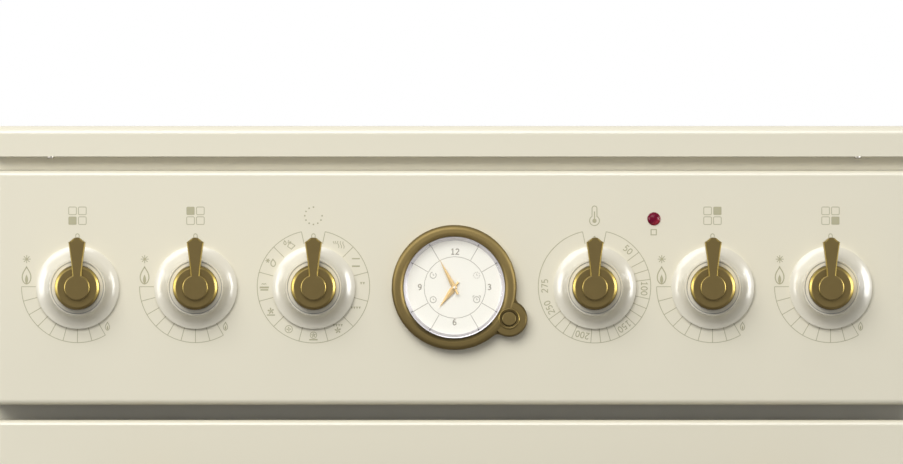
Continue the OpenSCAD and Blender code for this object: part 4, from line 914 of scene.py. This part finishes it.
class COOKER_OT_dials(bpy.types.Operator):
    """Prints the dials and signs round the knobs and the lamp"""

    bl_idname = "cooker.dials"
    bl_label = "Printed dials"

    def execute(self, context):
        for burner in GAS_KNOBS:
            self.print_dial("dial_" + burner, "tap_turn_" + burner, draw_gas_dial, burner)
        self.print_dial("dial_function", "function_turn", draw_function_dial)
        self.print_dial("dial_thermostat", "thermostat_turn", draw_thermostat_dial)
        # The square under the lamp
        left, right, low, high = -1.85, 1.6, -10.45, -7.0
        marks = Marks(on_face("pilot_lamp"), context.scene.cooker.marks)
        marks.outline([(left, low), (right, low), (right, high), (left, high)], 0.62)
        marks.to_piece("sign_pilot_lamp")
        return {"FINISHED"}

    def print_dial(self, name, joint, draw, *details):
        settings = bpy.context.scene.cooker.marks
        marks = Marks(joint_place(joint, PRINT_SHIFT, PRINT_RISE), settings)
        draw(marks, *details)
        marks.to_piece(name)


class COOKER_OT_pilot_lamp(bpy.types.Operator):
    """Turns the pilot lamp's domed lens with the small step round its foot"""

    bl_idname = "cooker.pilot_lamp"
    bl_label = "Pilot lamp"

    def execute(self, context):
        stem, foot, dome_r, step, rise, depth = 2.9, 4.3, 3.87, 0.6, 1.9, 38
        dome = [(dome_r * x, step + rise * z) for x, z in (polar(1, a) for a in range(0, 90, 15))]
        profile = [(stem, -depth), (stem, 0), (foot, 0.0), (foot, 0.4), (dome_r, step), *dome,
                   (0, step + rise)]
        lens = turned_piece("pilot_lens", on_face("pilot_lamp"), profile, "ruby_lens", 40)
        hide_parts("pilot_lamp")
        return {"FINISHED"}


# Hours with a line, counted from 3 o'clock, and the sloping ring's foot and brow as (radius, height) in mm
LINED_HOURS = [hour for hour in range(12) if hour % 3]
RING_FOOT = (30.9, 1.5)
RING_BROW = (32.5, 4.3)


class COOKER_OT_clock(bpy.types.Operator):
    """Builds the clock's dial print, chapter ring and hands, and finishes its other pieces"""

    bl_idname = "cooker.clock"
    bl_label = "Clock"

    def execute(self, context):
        s = context.scene.cooker
        centre = joint_place("minute_turn")
        coat("bezel_brass", "clock_bezel", "clock_setter")
        coat("dial_face", "clock_dial")
        coat("clear_glass", "clock_glass")
        coat("black_plastic", "clock_movement")
        coat("stem_steel", "clock_stem")
        self.print_dial(centre, s.marks)
        self.add_chapter_ring(centre)
        self.add_chapter_lines(centre, 2 * s.marks.lift)
        self.add_bush(centre)
        self.add_setter_collar()
        self.add_hand("hour_needle", "hour_hand", centre, level=2.0, angle=217.0, reach=16.2, width=3.9,
                      tail=4.7, tail_width=1.7, arbor_r=1.8, boss=0.45)
        self.add_hand("minute_needle", "minute_hand", centre, level=3.0, angle=332.4, reach=20.5, width=3.1,
                      tail=5.2, tail_width=1.5, arbor_r=0.9, boss=0.85)
        self.add_pin(centre, 3.0, 0.85)
        return {"FINISHED"}

    def print_dial(self, centre, settings):
        shift = 0.45
        marks = Marks(Vector((centre.x + shift * MM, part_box("clock_dial")[0].y, centre.z)), settings)
        marks.ring(0, 0, 20.1, 0.34)
        for hour in LINED_HOURS:
            marks.radial(30 * hour, 20.3, 31.2, 0.36)
        for text, x, z in (("12", 0.1, 23.4), ("3", 22.5, 0.3), ("6", -0.2, -22.7), ("9", -22.9, 0.3)):
            marks.numerals(text, x, z, 3.5, 0, 0.7, 1.15)
        for sx in (-1, 1):
            for sz in (-1, 1):
                self.draw_small_clock(marks, sx * 14.2, sz * 8.0, (sx, sz))
        marks.to_piece("clock_print", "dial_ink")

    def draw_small_clock(self, marks, x, z, corner):
        """The four signs of the clock's functions: elapsed time, dotted time, plain time and alarm."""
        radius, line = 2.0, 0.42
        marks.stroke([(x, z + 1.1), (x, z), (x + 0.8, z)], 0.35)
        if corner == (-1, 1):
            marks.arc(x, z, radius, 100, 400, line)
        elif corner == (1, 1):
            for i in range(10):
                marks.dot(*polar(radius, 36 * i, x, z), 0.3)
        else:
            marks.ring(x, z, radius, line)
        if corner == (1, -1):
            for side in (-1, 1):
                middle = 90 - side * 45
                marks.arc(x + side * 1.8, z + 1.9, 0.7, middle - 80, middle + 80, 0.4)

    def add_chapter_ring(self, centre):
        """The sloping metal ring round the dial."""
        inner, outer, back = 30.7, 32.95, 1.32
        profile = [(inner, back), RING_FOOT, RING_BROW, (outer, 4.4), (outer, back), (inner, back)]
        turned_piece("chapter_ring", centre, profile, "chapter_ring")

    def add_chapter_lines(self, centre, lift):
        """The hour lines carried over the sloping ring."""
        half = 0.26
        bm = bmesh.new()
        for hour in LINED_HOURS:
            corners = [(RING_FOOT, -half), (RING_BROW, -half), (RING_BROW, half), (RING_FOOT, half)]
            face = []
            for (radius, height), side in corners:
                x, z = turned([(radius, side)], 30 * hour, 0, 0)[0]
                face.append(bm.verts.new(at(centre, x, height + lift, z)))
            bm.faces.new(face)
        make_piece("chapter_lines", bm, "tick_ink", 0)

    def add_bush(self, centre):
        """The small ring round the hands' arbor on the dial."""
        bore, outer, back = 1.95, 2.9, 1.2
        profile = [(bore, back), (bore, 1.45), (2.7, 1.45), (outer, 1.3), (outer, back), (bore, back)]
        turned_piece("dial_bush", centre, profile, "dial_face", 48)

    def add_setter_collar(self):
        """The raised ring round the setting knob's recess."""
        profile = [(5.15, 8.2), (5.15, 9.02), (5.8, 9.05), (6.15, 9.3), (6.45, 9.32), (6.75, 9.1), (6.9, 8.7),
                   (6.9, 8.2)]
        turned_piece("setter_collar", on_face("clock_setter"), profile, "antique_brass",
                     64, 50)

    def add_hand(self, name, node, centre, level, angle, reach, width, tail, tail_width, arbor_r, boss):
        """A kite-shaped hand with a raised spine and a swallow tail, on its capped arbor."""
        flat, spine, notch_depth = 0.22, 0.5, 0.3
        arbor = at(centre, 0, level, 0)
        bm = bmesh.new()

        def vert(x, z, height):
            px, pz = turned([(x, z)], -angle, 0, 0)[0]
            return bm.verts.new(at(arbor, px, height, pz))

        sections = []
        for z, half in ((reach, 0.0), (2.8, width / 2), (0.0, width * 0.34), (-tail * 0.4, tail_width * 0.42),
                        (-tail, tail_width / 2)):
            ridge = z + (notch_depth if z == -tail else 0.0)
            sections.append([vert(-half, z, flat), vert(0, ridge, spine), vert(half, z, flat),
                             vert(half, z, 0.0), vert(0, ridge, 0.0), vert(-half, z, 0.0)])
        for a, b in zip(sections, sections[1:]):
            for i in range(6):
                j = (i + 1) % 6
                bm.faces.new((a[i], a[j], b[j], b[i]))
        bm.faces.new(sections[-1])
        bmesh.ops.remove_doubles(bm, verts=bm.verts, dist=0.00001)
        back = -(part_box(node)[1].y - arbor.y) / MM
        lathe(bm, arbor, [(arbor_r, back), (arbor_r, 0.0), (1.5, 0.05), (1.5, boss * 0.7), (1.1, boss),
                          (0, boss)], 32)
        hand = make_piece(name, bm, "gilt_hands", 20, node)
        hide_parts(node)

    def add_pin(self, centre, level, boss):
        """A real pin in the middle of the minute hand's cap, whose pale dial colour is a painted glint."""
        arbor = at(centre, 0, level, 0)
        profile = [(0, boss - 0.1), (0.75, boss - 0.1), (0.75, boss + 0.2), (0.5, boss + 0.36),
                   (0, boss + 0.4)]
        turned_piece("pin_glint", arbor, profile, "dial_face", 24, 40, "minute_hand")


class COOKER_OT_screws(bpy.types.Operator):
    """Gives every screw a domed head with a recess"""

    bl_idname = "cooker.screws"
    bl_label = "Screws"

    def execute(self, context):
        bm = bmesh.new()
        for lo, hi in loose_boxes("screws"):
            size = hi - lo
            axis = min(range(3), key=lambda i: size[i])
            self.add_head(bm, (lo + hi) / 2, axis, max(size) / 2 / MM, size[axis] / MM)
        heads = make_piece("screw_heads", bm, "plated_screws", 40)
        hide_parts("screws")
        return {"FINISHED"}

    def add_head(self, bm, middle, axis, radius, height):
        """A head whose crown points down under the rail, and to the back on the casing."""
        local = bmesh.new()
        lathe(local, Vector((0, 0, 0)), [
            (0.01, -height / 2), (radius, -height / 2), (radius, 0.0), (radius * 0.82, height * 0.36),
            (radius * 0.5, height * 0.48), (radius * 0.42, height * 0.5), (radius * 0.34, 0.0), (0, -0.1),
        ], 24)
        turn = Matrix.Rotation(math.pi, 4, "Z") if axis == 1 else Matrix.Rotation(math.pi / 2, 4, "X")
        local.transform(Matrix.Translation(middle) @ turn)
        mesh = new_mesh("head", local)
        bm.from_mesh(mesh)
        bpy.data.meshes.remove(mesh)


class COOKER_OT_hob(bpy.types.Operator):
    """Finishes the burners, their spark plugs and the cast iron pan supports"""

    bl_idname = "cooker.hob"
    bl_label = "Burners and pan supports"

    def execute(self, context):
        coat("burner_alloy", "burner_cups", "flame_spreaders")
        coat("cast_iron", "burner_caps", "pan_support_left", "pan_support_right")
        coat("spark_ceramic", "igniters")
        return {"FINISHED"}


class COOKER_OT_gas_train(bpy.types.Operator):
    """Finishes the gas manifold, pipes and taps, and the bracket and switches behind the fascia"""

    bl_idname = "cooker.gas_train"
    bl_label = "Gas train and controls"

    def execute(self, context):
        coat("zinc_sheet", "gas_manifold", "control_bracket")
        coat("burner_alloy", "gas_pipes")
        coat("plug_brass", "gas_taps")
        coat("black_plastic", "oven_controls")
        return {"FINISHED"}


class COOKER_OT_oven(bpy.types.Operator):
    """Finishes the oven's inside, its shelf, tray, elements, lamp and fan"""

    bl_idname = "cooker.oven"
    bl_label = "Oven"

    def execute(self, context):
        coat("oven_enamel", "oven_cavity", "baking_tray", "fan_cover")
        coat("rock_wool", "oven_insulation")
        coat("shelf_chrome", "shelf_ladders", "wire_shelf")
        coat("element_steel", "heating_elements")
        coat("clear_glass", "oven_lamp")
        coat("zinc_sheet", "fan_motor", "convection_fan")
        return {"FINISHED"}


class COOKER_OT_door(bpy.types.Operator):
    """Finishes the oven door and its window"""

    bl_idname = "cooker.door"
    bl_label = "Oven door"

    def execute(self, context):
        coat("zinc_sheet", "door_frame")
        coat("oven_glass", "door_glass")
        coat("handle_brass", "door_handle")
        coat("seal_rubber", "door_seal")
        return {"FINISHED"}


class COOKER_OT_drawer(bpy.types.Operator):
    """Finishes the storage drawer with its handle and rails"""

    bl_idname = "cooker.drawer"
    bl_label = "Drawer"

    def execute(self, context):
        coat("zinc_sheet", "drawer_box", "drawer_rails")
        coat("handle_brass", "drawer_handle")
        return {"FINISHED"}


class COOKER_OT_chassis(bpy.types.Operator):
    """Finishes the back, the base, the feet and the terminal box"""

    bl_idname = "cooker.chassis"
    bl_label = "Back, base and feet"

    def execute(self, context):
        coat("zinc_sheet", "back_panel", "base_pan")
        coat("black_plastic", "feet", "terminal_box")
        return {"FINISHED"}


def seen_background(tree):
    """A socket that is 1 where the background is seen, straight, in a gloss or through glass."""
    path = add(tree, "LightPath").outputs
    direct = maths(tree, "MAXIMUM", path["Is Camera Ray"], path["Is Glossy Ray"])
    return maths(tree, "MAXIMUM", direct, path["Is Transmission Ray"])


class COOKER_OT_studio(bpy.types.Operator):
    """Sets up the pale floor, the white surroundings, the soft lights and the camera"""

    bl_idname = "cooker.studio"
    bl_label = "Studio"

    def execute(self, context):
        s = context.scene.cooker
        self.add_floor(s.studio)
        self.add_world(s.studio)
        self.add_light("key_light", (-0.8, -2.6, 2.42), (2.6, 1.8), s.studio.key)
        for name, side, share in (("side_left", -1, 0.8), ("side_right", 1, 1.3)):
            card = self.add_light(name, (1.25 * side, -0.85, 0.95), (0.9, 0.8), share * s.studio.side)
            card.visible_diffuse = card.visible_camera = False
        self.add_light("top_light", (0.3, -1.3, 2.9), (1.6, 1.2), s.studio.top)
        self.add_camera(s.camera)
        context.scene.view_settings.view_transform = "Standard"
        return {"FINISHED"}

    def add_floor(self, s):
        """A large plane just under the feet, which looks pale but throws little light back up."""
        half, gap = 6.0, 0.0005
        bm = bmesh.new()
        bmesh.ops.create_grid(bm, x_segments=1, y_segments=1, size=half)
        floor = new_object("floor", new_mesh("floor", bm))
        floor.location.z = -gap
        material, tree, shader = new_material("floor_paint", Roughness=0.7)
        tone = effect(tree, "Tone Drift", Base=rgba(s.floor), Drift=rgba(shade(s.floor, 0.985)), Scale=1.5)
        thrown = rgba(shade(s.floor, s.bounce))
        put(shader, "Base Color", blend(tree, seen_background(tree), thrown, tone["Color"]))
        floor.data.materials.append(material)

    def add_world(self, s):
        """White where it is seen, dimmer where it lights."""
        world = bpy.data.worlds.new("studio_white")
        bpy.context.scene.world = world
        world.use_nodes = True
        tree = world.node_tree
        sky = tree.nodes["Background"]
        put(sky, "Color", WHITE)
        put(sky, "Strength", remap(tree, seen_background(tree), 0.0, 1.0, s.ambient, WHITE_WORLD))

    def add_light(self, name, place, size, power):
        """A rectangular light, aimed at the fascia."""
        target = Vector((0, FACE_Y, 0.80))
        lamp = bpy.data.lights.new(name, "AREA")
        lamp.shape = "RECTANGLE"
        lamp.size, lamp.size_y = size
        lamp.energy = power
        holder = new_object(name, lamp)
        holder.location = place
        holder.rotation_euler = (target - Vector(place)).to_track_quat("-Z", "Y").to_euler()
        return holder

    def add_camera(self, s):
        data = bpy.data.cameras.new("front_camera")
        data.lens = s.lens
        distance = s.width * s.lens / data.sensor_width
        data.clip_end = 4 * distance
        camera = new_object("front_camera", data)
        camera.location = (s.centre_x, FACE_Y - distance, s.centre_z)
        camera.rotation_euler = (math.pi / 2, 0, 0)
        bpy.context.scene.camera = camera


BUILDERS = (COOKER_OT_enamel, COOKER_OT_knobs, COOKER_OT_dials, COOKER_OT_pilot_lamp, COOKER_OT_clock,
            COOKER_OT_screws, COOKER_OT_hob, COOKER_OT_gas_train, COOKER_OT_oven, COOKER_OT_door,
            COOKER_OT_drawer, COOKER_OT_chassis, COOKER_OT_studio)


def settings_of(kind, name, description):
    return bpy.props.PointerProperty(name=name, description=description, type=kind)


class CookerSettings(bpy.types.PropertyGroup):
    enamel: settings_of(EnamelSettings, "Enamel", "Enamel and lacquer")
    brass: settings_of(BrassSettings, "Brass", "Brass and gilt")
    marks: settings_of(MarkSettings, "Marks", "Printed marks")
    studio: settings_of(StudioSettings, "Studio", "Lights and floor")
    camera: settings_of(CameraSettings, "Camera", "The front view")


class COOKER_PT_panel(bpy.types.Panel):
    """Lists the cooker's settings and builders"""

    bl_idname = "COOKER_PT_panel"
    bl_label = "Range cooker"
    bl_space_type = "VIEW_3D"
    bl_region_type = "UI"
    bl_category = "Cooker"

    def draw(self, context):
        settings = context.scene.cooker
        for group in (settings.enamel, settings.brass, settings.marks, settings.studio, settings.camera):
            box = self.layout.box()
            for name in group.__annotations__:
                box.prop(group, name)
        for builder in BUILDERS:
            self.layout.operator(builder.bl_idname)


CLASSES = (EnamelSettings, BrassSettings, MarkSettings, StudioSettings, CameraSettings, CookerSettings,
           *BUILDERS, COOKER_PT_panel)


def register():
    for item in CLASSES:
        bpy.utils.register_class(item)
    bpy.types.Scene.cooker = bpy.props.PointerProperty(type=CookerSettings)


def unregister():
    del bpy.types.Scene.cooker
    for item in reversed(CLASSES):
        bpy.utils.unregister_class(item)


def main():
    register()
    for builder in BUILDERS:
        group, name = builder.bl_idname.split(".")
        getattr(getattr(bpy.ops, group), name)()


if __name__ == "__main__":
    main()
